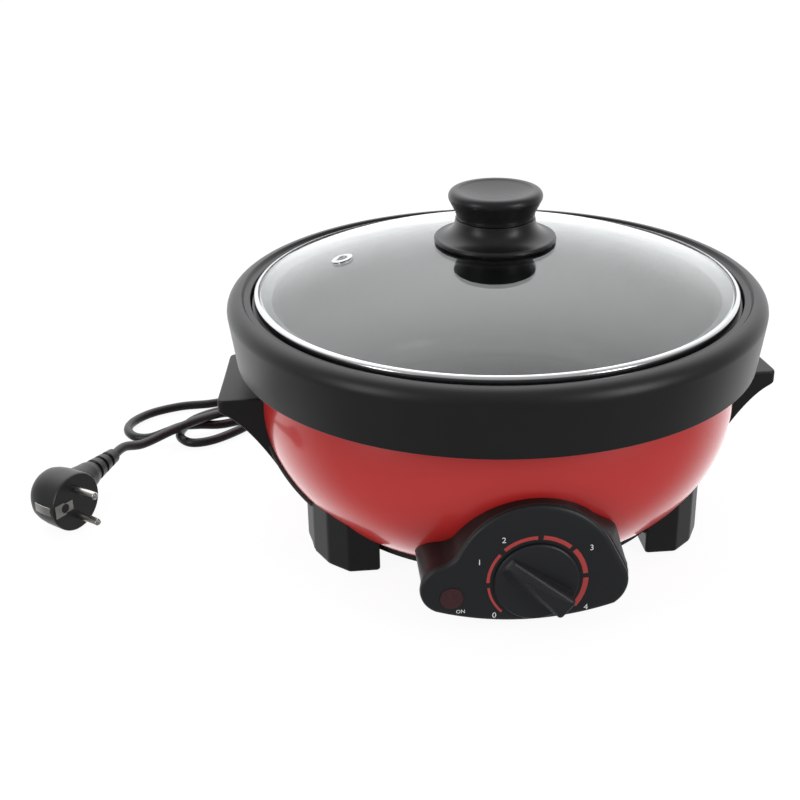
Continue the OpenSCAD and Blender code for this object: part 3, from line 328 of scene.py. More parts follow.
line = smooth_line(lead)
line.bevel_depth, line.bevel_resolution, line.use_fill_caps = CORD_D / 2 * MM, 5, True
line.materials.append(pvc)
mains_lead = placed("mains_lead", line)
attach(mains_lead, "pot")
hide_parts("mains_cord")

# ---------------------------------------------------------------- gland
# A moulded PVC bush snapped into the bowl, with a ribbed tail that keeps the
# lead from kinking where it leaves the steel.

TAIL_ROOT, TAIL_END, TAIL_L, GROOVE = 6.0, CORD_D / 2 + 1.2, 22.0, 0.75
tail = np.linspace(0, 1, 65)
grooved = np.clip(np.sin(FULL_TURN * 4.5 * tail) * 3, 0, 1) * (tail < 0.93)
tail_r = TAIL_ROOT + (TAIL_END - TAIL_ROOT) * tail - GROOVE * grooved
bush = np.vstack([[[0, -4], [5.9, -4], [5.9, 0.1], [8.2, 0.1], [8.5, 0.5], [8.5, 2.4], [7.9, 3.0]],
                  np.stack([tail_r, 3 + TAIL_L * tail], -1), [[3.3, GLAND_REACH], [0, GLAND_REACH]]])
object_of("lead_gland", skin([(put(turned(bush, 48), gland_at, aim(gland_way)), *LATHE)]),
          "pot", "cord_rubber", pvc, "strain_relief")

# ---------------------------------------------------------------- plug
# A right-angled two-pin plug with side earth clips and an earth socket: black
# PVC moulded over the pins, a waisted grip and a ribbed kink guard.


def plug_points():
    """The plug's round body, made along +Z away from the pin face: rings whose radius is read from a side view,
    full at the face and drawn in over a rounded edge to a flat back, and up to 3.5% less at the two sides."""
    behind = np.array([0, 0.6, 2, 6, 10, 14, 17, 20, 22, 24, 25.2, 26.4, 27.0, 27.6, 28, 28.01])
    side_view = np.interp(behind, [0, 0.6, 2, 14, 20, 24, 26.4, 27.6, 28, 28.01],
                          [18.9, 19.4, 19.5, 19.2, 18.4, 17.2, 15.4, 13.4, 11.5, 0])
    about = np.linspace(0, FULL_TURN, 96, endpoint=False)[:, None]
    r = side_view[None] * (1 - 0.035 * np.clip(behind / 20, 0, 1) * np.abs(np.cos(about)) ** 8)
    rings = np.stack([r * np.cos(about), r * np.sin(about), behind + 0 * about], -1)
    face_middle = np.concatenate([0 * rings[:, :1, :2], rings[:, :1, 2:]], -1)
    return np.concatenate([face_middle, rings], 1)


plug_rows = aim(-pins_way)
hub = put(plug_points(), PLUG_AT, plug_rows)
grip_t = np.linspace(0, 1, 28)
grip_r = np.interp(grip_t, [0, 0.25, 0.5, 0.8, 0.95, 1], [13.2, 12.6, 11.2, 9.4, 8.8, 8.2])
grip = rope(neck_root + np.outer(GRIP_L * grip_t, neck_way), grip_r, 40)
guard_t = np.linspace(0, 1, 90)
grooved = np.clip(np.sin(FULL_TURN * 3.5 * guard_t - 1.2) * 2.6 - 1.2, 0, 1) * (guard_t < 0.93)
guard_r = 8.0 + (5.0 - 8.0) * guard_t - 1.7 * grooved
guard = rope(neck_root + np.outer(GRIP_L + GUARD_L * guard_t, neck_way), guard_r, 32)
plug_shell = object_of(
    "plug_moulding", skin([(hub, *ROUNDED), (grip, *BAR), (guard, *BAR)]),
    "pot", "cord_rubber", pvc, "plug_body", crisp=40)


def bright_metal(name, code, low, high):
    """Nickel plate over brass, or bare sprung steel: bright, with 2 mm drawing marks and a little tarnish."""
    made, tree, spot = fresh_material(name)
    marks = node(tree, "ShaderNodeTexNoise", Vector=spot, Scale=0.5, Detail=5.0, Roughness=0.7).outputs["Fac"]
    tone = node(tree, "ShaderNodeMix", {"data_type": "RGBA"}, Factor=marks, i6=linear(code), i7=linear("#B9B6AF"))
    rough = node(tree, "ShaderNodeMapRange", Value=marks, i3=low, i4=high).outputs[0]
    close_material(tree, node(
        tree, "ShaderNodeBsdfPrincipled", Base_Color=tone.outputs[2], Metallic=1.0, Roughness=rough))
    return made


# Two solid pins, 4.8 mm thick and 19 mm apart, one over the other
PIN_R, PIN_L, PIN_APART = 2.4, 19.0, 19.0
plated = bright_metal("nickel_plate", "#DAD8D2", 0.14, 0.32)
pin_outline = soften([[0, -10, 0], [PIN_R, -10, 0], [PIN_R, 17.9, 0.6], [1.4, PIN_L, 0.5], [0, PIN_L, 0]], 4)
pins = [(put(turned(pin_outline, 36), PLUG_AT + s * PIN_APART / 2 * up_row, aim(pins_way)), *LATHE)
        for s in (-1, 1)]
plug_pins = object_of("plug_pins_plated", skin(pins), "pot", "pin_nickel", plated, "plug_pins")

# Sprung steel strips let into the body's two sides, bowed out in the middle
side_row = np.cross(up_row, pins_way)
strip = soften([[-3, -0.8, 0.5], [3, -0.8, 0.5], [3, 0.8, 0.5], [-3, 0.8, 0.5]], 3)
along = np.linspace(-18, -0.2, 10)
bowed = 17.9 + 0.9 * np.sin(np.clip((along + 18) / 18, 0, 1) * math.pi)
clips = [(PLUG_AT + along[None, :, None] * pins_way + (s * bowed[None, :, None] + strip[:, None, 1:2]) * side_row
          + strip[:, None, 0:1] * up_row, *BAR) for s in (-1, 1)]


def at_height(ring, z):
    """A flat ring of points lifted to a height."""
    return np.concatenate([ring, np.full((len(ring), 1), float(z))], 1)


# The earth plate let into the face: a stepped rectangle round a socket 6.2 mm wide
around = np.linspace(0, FULL_TURN, 40, endpoint=False)
circle = np.stack([np.cos(around), np.sin(around)], -1)
square = circle / np.abs(circle).max(1, keepdims=True)
hole = 3.1 * circle
edge = square * np.where(square[:, :1] > 0, [[6.6, 3.4]], [[8.2, 4.4]])
plate = np.stack([at_height(edge, -0.4), at_height(edge, 0.25), at_height(hole, 0.25), at_height(hole, -9)], 1)
clips.append((PLUG_AT - 10 * side_row + plate @ np.array([side_row, up_row, pins_way]), *LATHE))
sprung = bright_metal("sprung_steel", "#C8C6C1", 0.2, 0.4)
earth_clips = object_of("plug_earth_clips", skin(clips), "pot", "earth_brass", sprung, "plug_earth_contacts")

# ---------------------------------------------------------------- bowl
# Deep-drawn steel, stoved in a glossy wine red. Its lip is rolled out flat to
# carry the rim ring, and its flat bottom is open in the middle.

# Stoved enamel: a deep, even gloss under a clear coat, with orange peel about 3 mm across
paint, tree, spot = fresh_material("stoved_red_enamel")
sag = node(tree, "ShaderNodeTexNoise", Vector=spot, Scale=0.03, Detail=2.0).outputs["Fac"]
peel = node(tree, "ShaderNodeTexNoise", Vector=spot, Scale=0.35, Detail=2.0).outputs["Fac"]
tone = node(tree, "ShaderNodeMix", {"data_type": "RGBA"}, Factor=sag, i6=linear("#B62220"), i7=linear("#BE2623"))
soft = node(tree, "ShaderNodeMapRange", Value=peel, i3=0.3, i4=0.38).outputs[0]
dent = node(tree, "ShaderNodeBump", Height=peel, Strength=0.05, Distance=0.0005).outputs[0]
close_material(tree, node(
    tree, "ShaderNodeBsdfPrincipled", Base_Color=tone.outputs[2], Roughness=soft, Normal=dent, IOR=1.5, Coat_Weight=0.6,
    Coat_Roughness=0.12, Coat_IOR=1.5))

STEEL, MIDDLE_HOLE, FLAT_R = 1.2, 42, 108
# Outside from the flat up by even turns about the bulge's middle, then over the lip and down the inside
low_turn, top_turn = math.acos((WIDE_Z - FLAT_Z) / BULGE_R), math.pi - math.acos((LIP_Z - WIDE_Z) / BULGE_R)
side_z = WIDE_Z - BULGE_R * np.cos(low_turn + np.linspace(0, 1, 97) * (top_turn - low_turn))
outer = np.stack([bowl_at(side_z), side_z], -1)
rolled_lip = [[bowl_at(124.4), 124.4], [151.6, 124.8], [152.2, 125.1], [152.3, 125.6], [152.1, LIP_Z]]
inner_z = np.linspace(FLAT_Z + STEEL, LIP_Z, 60)[::-1]
inner = np.stack([bowl_at(inner_z) - STEEL, inner_z], -1)
bowl_outline = np.vstack([
    [[MIDDLE_HOLE, FLAT_Z], [FLAT_R, FLAT_Z]], outer[:-1], rolled_lip, inner, [[MIDDLE_HOLE, FLAT_Z + STEEL]]])
object_of("red_bowl", skin([(turned(bowl_outline, 288), *LATHE)]), "pot", "red_paint", paint, "outer_bowl")

# ---------------------------------------------------------------- rim ring
# One moulding in black heat-proof plastic: broad leaning outer side, rounded top
# edge, a raised step round the lid's seat, and webs across the hollow.


def moulded(name, dark, light, low, high, grain=0.8, depth=0.00012, strength=0.35):
    """Moulded plastic: two near tones in slow clouds, and the mould's spark-eroded grain, its size and depth drawn
    a little coarser than the real one so that it shows; grain is in millimetres, depth in metres."""
    made, tree, spot = fresh_material(name)
    cloud = node(tree, "ShaderNodeTexNoise", Vector=spot, Scale=0.04, Detail=3.0).outputs["Fac"]
    fine = node(tree, "ShaderNodeTexNoise", Vector=spot, Scale=1 / grain, Detail=3.0, Roughness=0.55).outputs["Fac"]
    tone = node(tree, "ShaderNodeMix", {"data_type": "RGBA"}, Factor=cloud, i6=linear(dark), i7=linear(light))
    rough = node(tree, "ShaderNodeMapRange", Value=fine, i3=low, i4=high).outputs[0]
    dent = node(tree, "ShaderNodeBump", Height=fine, Strength=strength, Distance=depth).outputs[0]
    close_material(tree, node(
        tree, "ShaderNodeBsdfPrincipled", Base_Color=tone.outputs[2], Roughness=rough, Normal=dent, IOR=1.5,
        Specular_IOR_Level=0.38))
    return made


satin_black = moulded("satin_black_ring_plastic", "#131314", "#19191B", 0.35, 0.44)
RING_R, RING_TOP, RING_LOW, LEDGE_Z, LIP_R = 168.3, 151.5, 111.0, 143.5, 152.3
RING_WALL, RING_LEAN = 3.05, math.radians(9.5)
ring_foot = RING_R - (142.5 - RING_LOW) * math.tan(RING_LEAN)
ring_outline = soften([
    [149.3, LIP_Z, 0.3], [149.3, LEDGE_Z, 0.5], [LIP_R, LEDGE_Z, 0.4], [LIP_R, 149.5, 0.7], [156.3, 149.5, 0.6],
    [157.8, RING_TOP, 0.8], [RING_R + 0.08, RING_TOP, 8.6], [ring_foot, RING_LOW, 0.6],
    [ring_foot - RING_WALL, RING_LOW, 0.4], [RING_R - RING_WALL, 148.5, 5.5], [158.5, 148.5, 0.5], [156.5, 146.5, 0.4],
    [155.3, 146.5, 0.3], [155.3, LIP_Z, 0.4]], 9)
ring_parts = [(turned(ring_outline, 320), *LATHE)]
# Twelve webs, 2 mm thick, from the lip's wall to the outer side
web = soften([[154.2, 126, 0.4], [164.2, 126, 0.4], [166.6, 142, 0.4], [154.2, 142, 0.4]], 2)
web_sides = np.array([-1.0, 1.0])
for a in np.radians(15 + 30 * np.arange(12)):
    out = level_way(a)
    across = np.cross(up_row, out)
    ring_parts.append((web[:, None, 0:1] * out + web_sides[None, :, None] * across + web[:, None, 1:2] * up_row,
                       *BAR))
object_of("black_rim_ring", skin(ring_parts), "pot", "black_plastic", satin_black, "rim_ring", crisp=42)

# ---------------------------------------------------------------- pan
# Pressed aluminium with a dark non-stick coating, hung by its flange on the
# ring's ledge.

# Non-stick coating: dark satin, with pale mineral flecks a little over 1 mm apart
coating, tree, spot = fresh_material("dark_non_stick_coating")
fleck = node(tree, "ShaderNodeTexVoronoi", Vector=spot, Scale=0.7).outputs["Distance"]
haze = node(tree, "ShaderNodeTexNoise", Vector=spot, Scale=0.05, Detail=4.0).outputs["Fac"]
spark = node(tree, "ShaderNodeMapRange", Value=fleck, i1=0.0, i2=0.22, i3=0.6, i4=0.0).outputs[0]
tone = node(tree, "ShaderNodeMix", {"data_type": "RGBA"}, Factor=spark, i6=linear("#161719"), i7=linear("#4A4C50"))
rough = node(tree, "ShaderNodeMapRange", Value=haze, i3=0.28, i4=0.4).outputs[0]
close_material(tree, node(tree, "ShaderNodeBsdfPrincipled", Base_Color=tone.outputs[2], Roughness=rough, IOR=1.45))

PAN_LEAN = math.radians(8.5)


def pan_line(top_r, top_z, floor_z, curve_r):
    """Half outline of a pan from its middle out: flat floor, an arc of curve_r, then a straight wall that touches
    the arc and leans out to top_r at top_z."""
    zc = floor_z + curve_r
    xc = top_r - (top_z - zc) * math.tan(PAN_LEAN) - curve_r / math.cos(PAN_LEAN)
    q = np.linspace(-math.pi / 2, -PAN_LEAN, 16)
    bend = np.stack([xc + curve_r * np.cos(q), zc + curve_r * np.sin(q)], -1)
    return np.vstack([[[0, floor_z], [xc * 0.5, floor_z], [xc * 0.93, floor_z]], bend, [[top_r, top_z]]])


under = pan_line(140.2, 143.5, 52, 18)
inside = pan_line(138.0, 145.2, 55, 15.5)[::-1]
flange = [[139.9, 142.2], [140.6, 143.2], [141.6, LEDGE_Z], [151.4, LEDGE_Z], [151.8, 143.9], [151.8, 145.5],
          [151.3, 146.0], [139.6, 146.0], [138.5, 145.7]]
pan = turned(np.vstack([under[:-1], flange, inside]), 256)
object_of("hot_pot_pan", skin([(pan, *LATHE)]), "pot", "pan_coating", coating, "cooking_pan")

# ---------------------------------------------------------------- base cover
# A moulded black plate screwed under the bowl, slotted to let the heat out.

matt_black = moulded("matt_black_case_plastic", "#111112", "#171718", 0.42, 0.55, grain=0.7)


def finished(finish, *names):
    """Gives a finish to pieces that keep the shape of the solids."""
    for name in names:
        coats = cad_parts[name].data.materials
        coats.clear()
        coats.append(finish)


finished(matt_black, "base_cover")

# ---------------------------------------------------------------- feet
# Four moulded feet, each a slanted claw that closes on the bowl's side, with a
# rubber pad pressed into its sole and one screw up into the bowl.


def foot_plan(inset):
    """Outline of a foot seen from above, drawn in by inset all round, corners softened."""
    e = inset
    return soften([[82 + e, -87.2 + e, 1.6], [101 - 0.4 * e, -87.2 + e, 3], [113 - 0.8 * e, -76 + 0.6 * e, 10],
                   [121 - e, -60 + 0.3 * e, 12], [124.5 - e, -44 - e, 1.6], [82 + e, -44 - e, 1.6]], 5)


def foot_roof(x, y):
    """Height at which a foot ends: 11.3 mm under the base cover near the axis, and 0.25 mm off the bowl's bulge
    beyond it."""
    reach = np.hypot(x, y)
    bulge = WIDE_Z - np.sqrt(np.maximum((BULGE_R + 0.25) ** 2 - (np.maximum(reach, 114.0) - BOWL_CX) ** 2, 0))
    return np.where(reach < 113.9, 11.3, np.maximum(bulge, 15.8))


def foot_points():
    """A foot as rings from its sole up: each is the plan, drawn in by a 2 mm round at the sole's edge and cut by a
    10 mm round on the outside, at its height or at the foot's roof, whichever is lower."""
    rise = np.concatenate([[0.0, 0.35, 0.9, 1.6, 2.5], np.linspace(4, 60, 40)])
    rings = []
    top = foot_roof(*foot_plan(0.0).T)
    for h in rise:
        inset = 2.0 - math.sqrt(max(4 - (2 - min(h, 2)) ** 2, 0))
        plan = foot_plan(inset)
        z = np.minimum(1 + h, top)
        edge = np.where(z < 11, 115 + np.sqrt(np.maximum(10.0 ** 2 - (11 - z) ** 2, 0)), 126)
        rings.append(np.stack([np.minimum(plan[:, 0], edge - inset), plan[:, 1], z], -1))
    sole = rings[0]
    middle = np.array([99.0, -66, 1])
    shrink = [middle + (sole - middle) * k for k in (0.0, 0.4, 0.8)]
    roof, crown = rings[-1], np.array([98.0, -62])
    caps = []
    for k in (0.75, 0.4, 0.0):
        xy = crown + (roof[:, :2] - crown) * k
        caps.append(np.concatenate([xy, np.minimum(foot_roof(*xy.T), roof[:, 2].max())[:, None]], 1))
    return np.stack(shrink + rings + caps, 1)


claw = foot_points()
for name, sx, sy in (("front_right", 1, 1), ("front_left", -1, 1), ("rear_right", 1, -1), ("rear_left", -1, -1)):
    object_of("claw_" + name, skin([(claw * np.array([sx, sy, 1]), *ROUNDED)]), "pot", "black_plastic",
              matt_black, "foot_" + name, crisp=30)

rubber = moulded("black_rubber", "#0C0C0C", "#141414", 0.7, 0.85, grain=0.5)
PAD_R, PAD_H, PAD_X, PAD_Y = 7.5, 2.45, 93.5, 75
pad = turned(soften([[0, 0, 0], [PAD_R, 0, 0.8], [PAD_R, PAD_H, 0.3], [0, PAD_H, 0]], 4), 40)
pads = [(pad + [sx * PAD_X, sy * PAD_Y, 0], *LATHE) for sx in (-1, 1) for sy in (-1, 1)]
object_of("rubber_soles", skin(pads), "pot", "seal_rubber", rubber, "foot_pads")

# ---------------------------------------------------------------- handles
# One moulding a side: a flat-topped ear to lift by, and below it a thin arch
# that hugs the bowl and runs down to both feet.

EAR_TOP, EAR_EDGE, EAR_REACH = 94.0, 85.3, 176.3


def ear_points():
    """The ear as its plan drawn in ring by ring from the rim: a flat top, a rounded edge, and an underside that falls
    towards the bowl by 26.5 mm times the way in from the rim to the power 1.55."""
    plan = soften([[140, -30, 1], [EAR_REACH, -30, 3.5], [169.3, 46, 5], [136, 46, 1]], 7)
    closed = np.vstack([plan, plan[:1]])
    walked = np.concatenate([[0], np.cumsum(np.linalg.norm(np.diff(closed, axis=0), axis=1))])
    stops = np.union1d(walked[:-1], np.linspace(0, walked[-1], 110, endpoint=False))
    plan = np.stack([np.interp(stops, walked, closed[:, k]) for k in (0, 1)], -1)
    mid = np.array([150.0, 8.0])
    # how far in from the rim, and how much the rounded edge takes off, from the middle of the top to the rim
    inset = np.array([60, 40, 26, 16, 9, 4, 1.6, 0.75, 0.2, 0.0])
    round_off = np.array([0, 0, 0, 0, 0, 0, 0, 0.2, 0.75, 1.6])
    towards = mid - plan
    far = np.linalg.norm(towards, axis=1, keepdims=True)
    rows = []
    for side, order in ((1, slice(None)), (-1, slice(None, None, -1))):
        for d, cut in zip(inset[order], round_off[order]):
            xy = plan + towards / far * np.minimum(d, far)
            below = EAR_EDGE - 26.5 * (np.maximum(EAR_REACH - xy[:, 0], 0) / 27.5) ** 1.55
            z = np.full(len(plan), EAR_TOP - cut) if side > 0 else below + cut
            rows.append(np.concatenate([xy, z[:, None]], 1))
    g = np.stack(rows, 1)
    hug = np.sqrt(np.maximum(bowl_at(g[..., 2], 0.25) ** 2 - g[..., 1] ** 2, 0))
    g[..., 0] = np.maximum(g[..., 0], hug)
    return g


def arch_points():
    """The arch: a band between its hollow and its outer edge, both given along the pot and upwards. Each point is laid
    on the bowl and lifted off it, along the bowl's own normal, by the band's rounded thickness."""
    inner = np.array([[-43, 29], [-36, 33], [-28, 38], [-19, 45], [-11, 54], [-4, 64], [4, 71], [14, 73], [24, 71],
                      [31, 62], [36, 52], [40, 42], [46, 29]])
    outer = np.array([[-59, 34.5], [-54, 38], [-47, 43], [-39, 50], [-31, 60], [-23, 73], [-16, 92], [20, 93], [42, 90],
                      [44, 73], [46, 60], [50, 48], [58, 34.5]])
    run, fine = np.linspace(0, 1, 13), np.linspace(0, 1, 121)
    hollow, soft_rim = (np.stack([np.interp(fine, run, e[:, k]) for k in (0, 1)], -1) for e in (inner, outer))
    for e in (hollow, soft_rim):
        for _ in range(8):
            e[1:-1] = 0.25 * e[:-2] + 0.5 * e[1:-1] + 0.25 * e[2:]
    across = np.concatenate([
        [0, 0.004, 0.015, 0.035, 0.07], np.linspace(0.12, 0.88, 14), [0.93, 0.965, 0.985, 0.996, 1.0]])
    rounding = [0, 0.45, 0.75, 0.93, 1.0]
    proud = 0.25 + 2.15 * np.array(rounding + [1.0] * 14 + rounding[::-1])
    across, proud = np.concatenate([across, [0.7, 0.3]]), np.concatenate([proud, [0.25, 0.25]])
    yz = hollow[None] + across[:, None, None] * (soft_rim - hollow)[None]
    x = np.sqrt(np.maximum(bowl_at(yz[..., 1], 0) ** 2 - yz[..., 0] ** 2, 0))
    normal = np.stack([x, yz[..., 0]], -1) / bowl_at(yz[..., 1])[..., None]
    slope = np.arcsin(np.clip((yz[..., 1] - WIDE_Z) / BULGE_R, -1, 1))
    out, rise = proud[:, None] * np.cos(slope), proud[:, None] * np.sin(slope)
    return np.stack([x + out * normal[..., 0], yz[..., 0] + out * normal[..., 1], yz[..., 1] + rise], -1)


ear, arch = ear_points(), arch_points()
for name, s in (("right", 1), ("left", -1)):
    flip = np.array([s, 1, 1])
    object_of("lift_handle_" + name, skin([(ear * flip, *ROUNDED), (arch * flip, *BAR)]), "pot",
              "black_plastic", matt_black, "handle_" + name, crisp=32)

# ---------------------------------------------------------------- control housing
# A moulded box that grows out of the bowl at the front, open at the back, with
# a round top over the dial and a flared shoulder over the lamp.

DIAL = np.array([0.0, 33.5])
LEFT_END, RIGHT_END, HOUSING_Y = np.array([-49.8, 29.8]), np.array([35.3, 28.9]), -157.0


def bearing(p, q):
    """Angle of the way from p to q."""
    return math.atan2(q[1] - p[1], q[0] - p[0])


def arc(centre, radius, start, stop, count):
    """Points of an arc about a centre, by angle."""
    a = np.linspace(start, stop, count)
    return np.stack([centre[0] + radius * np.cos(a), centre[1] + radius * np.sin(a)], -1)


def panel_outline(e):
    """The panel's outline drawn in by e: five arcs that run into each other, for the right end, the round top about
    the dial, the hollow shoulder, the left end and the long curve below."""
    top, left, right_r, hollow, sag = 47.0, 15.2, 17.5, 16.0, 165.0
    d = float(np.linalg.norm(LEFT_END - DIAL))
    rp, rq = top + hollow, left + hollow
    a = (rp * rp - rq * rq + d * d) / (2 * d)
    u = (LEFT_END - DIAL) / d
    f = DIAL + a * u + math.sqrt(rp * rp - a * a) * np.array([u[1], -u[0]])
    span = float(np.linalg.norm(RIGHT_END - DIAL))
    slant = bearing(DIAL, RIGHT_END) + math.acos((top - right_r) / span)
    low = np.array([-3.0, 7.2 + sag])

    def meet(c, r):
        """Where a round end runs into the long curve below."""
        gap = float(np.linalg.norm(low - c))
        k = (gap * gap + r * r - (sag - e) ** 2) / (2 * gap * r)
        return math.acos(max(-1, min(1, k)))

    right_start = bearing(RIGHT_END, low) - meet(RIGHT_END, right_r - e)
    left_stop = bearing(LEFT_END, low) + meet(LEFT_END, left - e)
    parts = [arc(RIGHT_END, right_r - e, right_start, slant, 18), arc(DIAL, top - e, slant, bearing(DIAL, f), 44),
             arc(f, hollow + e, bearing(f, DIAL), bearing(f, LEFT_END), 16)[1:-1],
             arc(LEFT_END, left - e, bearing(LEFT_END, f), left_stop, 26)]
    first, last = parts[0][0], parts[-1][-1]
    turn_back = arc(low, sag - e, bearing(low, last), bearing(low, first), 42)[1:-1]
    return np.vstack(parts + [turn_back])


def housing_points():
    """The housing's outside: the outline carried back from the face until it meets the bowl or the base. Its right
    cheek swells by up to 6 mm half way up, and its left end by 2 mm."""
    back = np.concatenate([[0, 0.25, 0.6, 1.2], np.linspace(4, 64, 22)])
    outlines = []
    for b in back:
        e = 0.5 * (1 - min(b, 0.6) / 0.6) - 0.2
        o = panel_outline(e)
        r = np.where(o[:, 1] > FLAT_Z, bowl_at(np.clip(o[:, 1], FLAT_Z, LIP_Z), 0.35), 114.0)
        stop = -np.sqrt(np.maximum(r ** 2 - o[:, 0] ** 2, 96.0 ** 2))
        y = np.minimum(HOUSING_Y + b, stop)
        swell = math.sin(0.5 * math.pi * min(b / 14, 1))
        half_way_up = np.clip((o[:, 1] - 24) / 14, 0, 1) * np.clip((66 - o[:, 1]) / 10, 0, 1)
        cheek = np.clip((o[:, 0] - 28) / 12, 0, 1) * half_way_up
        x = np.where(o[:, 0] > 0, np.minimum(o[:, 0] + 6 * swell * cheek, np.maximum(o[:, 0], 52.8)),
                     o[:, 0] + 2 * swell * np.clip((-48 - o[:, 0]) / 8, 0, 1))
        outlines.append(np.stack([x, y, o[:, 1]], -1))
    return np.stack(outlines, 1)


shell = housing_points()
PANEL_MIDDLE = np.array([-6.0, 0, 34.0])
inner_wall = PANEL_MIDDLE + (shell[:, ::-1] - PANEL_MIDDLE) * [0.955, 1, 0.925]
object_of("panel_housing", skin([(np.concatenate([shell, inner_wall], 1), *LATHE)]), "pot", "black_plastic",
          matt_black, "control_housing", crisp=32)

# ---------------------------------------------------------------- face plate
# A separate satin plate on the housing's front with softly rounded edges, and
# the printed heat scale round the dial.

face_black = moulded("satin_face_plastic", "#1A1B1D", "#202123", 0.38, 0.46, grain=0.6, depth=0.0001, strength=0.25)
FACE_Y = -160.0
# Rings from the back's middle over the rounded edge to the front's middle: how far in, and how far forward
steps_in = [0.35, 0.0, 0.1, 0.45, 1.0, 1.8, 2.8, 4.2, 9.0]
steps_y = [HOUSING_Y, -157.3, -158.0, -158.7, -159.2, -159.6, -159.85, FACE_Y, FACE_Y]
rings = [np.insert(panel_outline(e), 1, y, axis=1) for e, y in zip(steps_in, steps_y)]
front, back = PANEL_MIDDLE + [0, FACE_Y, 0], PANEL_MIDDLE + [0, HOUSING_Y, 0]
rings = [0 * rings[0] + back] + rings + [front + (rings[-1] - front) * 0.55, 0 * rings[0] + front]
object_of("panel_face", skin([(np.stack(rings, 1), *ROUNDED)]), "pot", "panel_plastic", face_black,
          "control_fascia", crisp=40)


def pad_ink(name, dark, light, per_mm, rough):
    """Pad-printed ink: flat and dull, in two close tones that show how thickly the pad laid it on."""
    made, tree, spot = fresh_material(name)
    laid = node(tree, "ShaderNodeTexNoise", Vector=spot, Scale=per_mm, Detail=2.0).outputs["Fac"]
    tone = node(tree, "ShaderNodeMix", {"data_type": "RGBA"}, Factor=laid, i6=linear(dark), i7=linear(light))
    close_material(tree, node(tree, "ShaderNodeBsdfPrincipled", Base_Color=tone.outputs[2], Roughness=rough))
    return made


# The heat scale: six arcs that grow wider clockwise. Each is its two ends in degrees from the top, and its width.
SCALE_R, INK = 26.3, 0.06
bars = []
for start, stop, thick in (
        (134, 96, 1.4), (89, 48.5, 1.8), (41, -0.6, 2.2), (-7, -43, 2.5), (-49, -84, 2.8), (-90, -129, 3.0)):
    a = np.radians(90 + np.linspace(start, stop, 16))
    r = SCALE_R + thick * np.array([0, 0, 1, 1])[:, None]
    y = FACE_Y - INK * np.array([0, 1, 1, 0])[:, None]
    bars.append((np.stack([r * np.cos(a), y + 0 * a, DIAL[1] + r * np.sin(a)], -1), *BAR))
red_ink = pad_ink("red_pad_print", "#A22C2B", "#AF3836", 2.5, 0.45)
object_of("heat_scale_print", skin(bars), "pot", "panel_plastic", red_ink)

white_ink = pad_ink("white_pad_print", "#C9CACC", "#E2E3E4", 3.0, 0.5)


def printed(name, words, x, z, size):
    """Pad-printed characters on the face: a text turned into a mesh, stood up on the plate and laid flat on it."""
    data = bpy.data.curves.new(name, "FONT")
    data.body, data.size, data.align_x, data.align_y = words, size * MM, "CENTER", "CENTER"
    data.extrude, data.resolution_u = 0.00003, 3
    holder = placed(name + "_text", data)
    mesh = bpy.data.meshes.new_from_object(holder)
    bpy.data.objects.remove(holder)
    mesh.transform(Matrix.Translation((x * MM, (FACE_Y - 0.04) * MM, z * MM)) @ Matrix.Rotation(math.pi / 2, 4, "X"))
    object_of(name, mesh, "pot", "panel_plastic", white_ink).modifiers.clear()


for name, words, x, z, size in (
        ("mark_0", "0", -23.5, 12.5, 5.0), ("mark_1", "1", -32.0, 47.5, 5.0), ("mark_2", "2", -18.5, 60.5, 5.0),
        ("mark_3", "3", 30.5, 52.5, 5.0), ("mark_4", "4", 28.5, 14.0, 5.0), ("mark_on", "ON", -42.5, 16.4, 3.3)):
    printed(name, words, x, z, size)

# ---------------------------------------------------------------- pilot lamp
# A slightly domed lens over a neon lamp, pressed into the face from the front.
# Dyed polycarbonate: glossy, and almost black while the lamp is off.

lens_red, tree, spot = fresh_material("dark_red_polycarbonate")
swirl = node(tree, "ShaderNodeTexNoise", Vector=spot, Scale=0.4, Detail=2.0).outputs["Fac"]
tone = node(tree, "ShaderNodeMix", {"data_type": "RGBA"}, Factor=swirl, i6=linear("#2C1013"), i7=linear("#40191E"))
close_material(tree, node(
    tree, "ShaderNodeBsdfPrincipled", Base_Color=tone.outputs[2], Roughness=0.16, IOR=1.58, Coat_Weight=0.3))
LENS_AT, DOME_EDGE = (-47.5, FACE_Y, 25.4), 6.3
dome_r = np.linspace(DOME_EDGE, 0, 10)
dome = np.stack([dome_r, 0.5 + 0.3 * (1 - (dome_r / DOME_EDGE) ** 2)], -1)
lens_line = np.vstack([[[0, -3], [6.7, -3], [6.7, 0.2], [6.55, 0.42]], dome])
object_of("lamp_lens", skin([(put(turned(lens_line, 64), LENS_AT, aim((0, -1, 0))), *LATHE)]), "pot",
          "lens_plastic", lens_red, "indicator_lens")

# ---------------------------------------------------------------- dial
# A moulded disc with a tapering finger grip across it; its narrow end points
# at the scale. It is pushed on the thermostat's shaft.

dial_black = moulded("satin_dial_plastic", "#1C1D20", "#232427", 0.36, 0.44, grain=0.6, depth=0.0001, strength=0.25)
disc = soften([[0, 160.5, 0], [23.9, 160.5, 0.3], [23.9, 161.7, 0.8], [22.9, 162.3, 0.5], [0, 162.3, 0]], 5)
GRIP_ROOT, GRIP_H = 161.9, 10.5


def raised(plan, h):
    """A ring of the grip's plan at height h, less towards the narrow end, where the grip slopes down to the disc."""
    slope_down = np.clip((22.5 - plan[:, 1]) / 15, 0.1, 1)
    return np.concatenate([plan, (GRIP_ROOT + h * slope_down)[:, None]], 1)


